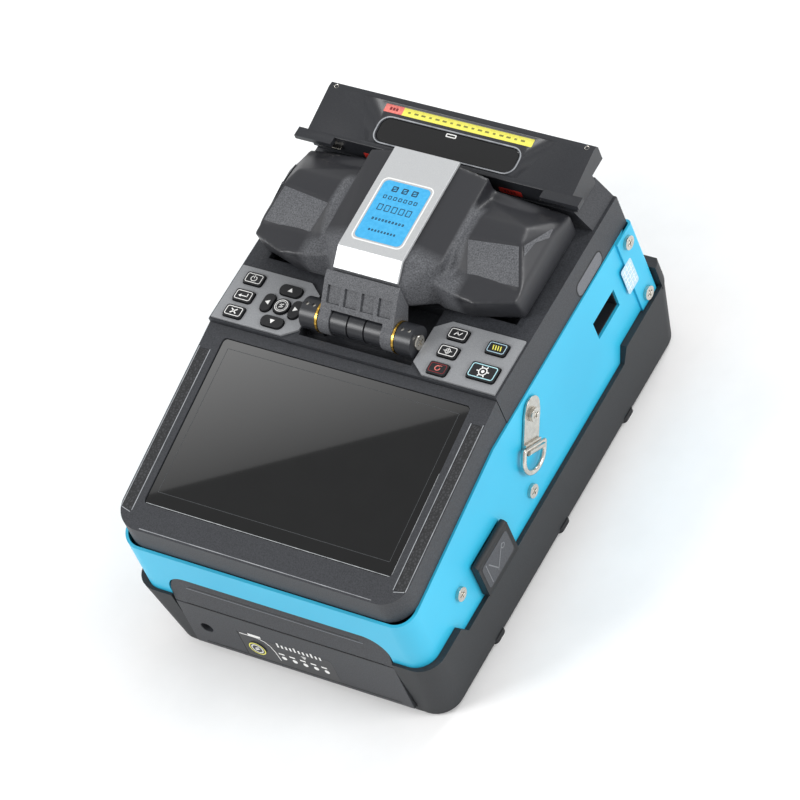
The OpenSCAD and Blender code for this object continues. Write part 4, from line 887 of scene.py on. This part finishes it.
def soft_card(eye):
    """A glowing card off to the left, whose straight edge shows as the diagonal across the dark display."""
    def on_glass(across, along):
        return SLOPE @ (Vector((across, along, -GLASS_SINK)) * MM)

    upward = SLOPE.to_3x3() @ Vector((0, 0, 1))

    def mirrored_way(point):
        way = (point - eye).normalized()
        return way - 2 * way.dot(upward) * upward

    middle = on_glass(0, ACTIVE_MIDDLE)
    facing = mirrored_way(middle)
    hub = middle + facing * CARD_DISTANCE * MM

    def on_card(point):
        way = mirrored_way(point)
        return point + way * ((hub - point).dot(facing) / way.dot(facing))

    start, end, corner = (on_card(on_glass(*spot)) for spot in (DIAGONAL_START, DIAGONAL_END, BRIGHT_CORNER))
    along = (end - start).normalized()
    outward = (corner - start) - (corner - start).dot(along) * along
    reach = outward.length
    outward.normalize()
    reverse = facing.cross(along)
    flip = 1 if reverse.dot(outward) > 0 else -1
    bpy.ops.mesh.primitive_plane_add(size=1)
    card = bpy.context.object
    card.scale = ((end - start).length * 1.3, reach * 1.25, 1)
    settle(card, "soft_card")
    centre = (start + end) / 2 + outward * reach * 0.625
    place(card, Matrix.Translation(centre) @ Matrix((along * flip, outward, along.cross(outward) * flip)
                                                    ).transposed().to_4x4())
    glow = bpy.data.materials.new("card_glow")
    glow.use_nodes = True
    tree = glow.node_tree
    tree.nodes.remove(tree.nodes["Principled BSDF"])
    where = add(tree, "ShaderNodeTexCoord").outputs["Object"]
    depth = add(tree, "ShaderNodeVectorMath", {0: where, 1: tuple(outward)}, operation="DOT_PRODUCT")
    base = outward.dot(start)
    spread = add(tree, "ShaderNodeMapRange", {"Value": depth.outputs["Value"], "From Min": base,
                                              "From Max": base + reach, "To Min": GLOW_NEAR,
                                              "To Max": GLOW_FAR})
    shine = add(tree, "ShaderNodeEmission", {"Strength": spread.outputs["Result"]})
    tree.links.new(shine.outputs["Emission"], tree.nodes["Material Output"].inputs["Surface"])
    painted(card, glow)


def studio():
    floor = block("floor", (-1500, -1500, -2), (1500, 1500, 0))
    floor.data.materials.append(grained("pale_paper", "#fbfbfb", "#ffffff", 0.9, 30.0, 0.0))
    world = bpy.data.worlds.new("studio")
    bpy.context.scene.world = world
    world.use_nodes = True
    world.node_tree.nodes["Background"].inputs["Color"].default_value = (1, 1, 1, 1)
    world.node_tree.nodes["Background"].inputs["Strength"].default_value = WORLD_LIGHT
    lamps = [("key", (-690, -810, 910), 600, 9), ("side", (1300, 200, 700), 600, 10),
             ("back", (200, 1200, 900), 700, 8)]
    for name, spot, size, power in lamps:
        lamp = bpy.data.lights.new(name, "AREA")
        lamp.shape = "DISK"
        lamp.size = size * MM
        lamp.energy = power
        holder = bpy.data.objects.new(name, lamp)
        bpy.context.scene.collection.objects.link(holder)
        holder.location = Vector(spot) * MM
        holder.rotation_mode = "QUATERNION"
        holder.rotation_quaternion = Vector(spot).to_track_quat("Z", "Y")
    bpy.context.scene.view_settings.view_transform = "Standard"


finish_cad_nodes()
camera()
studio()
shell_pieces()
display_pieces()
cover_pieces()
key_pieces()
windshield_pieces()
oven_pieces()
battery_pieces()
side_fittings()
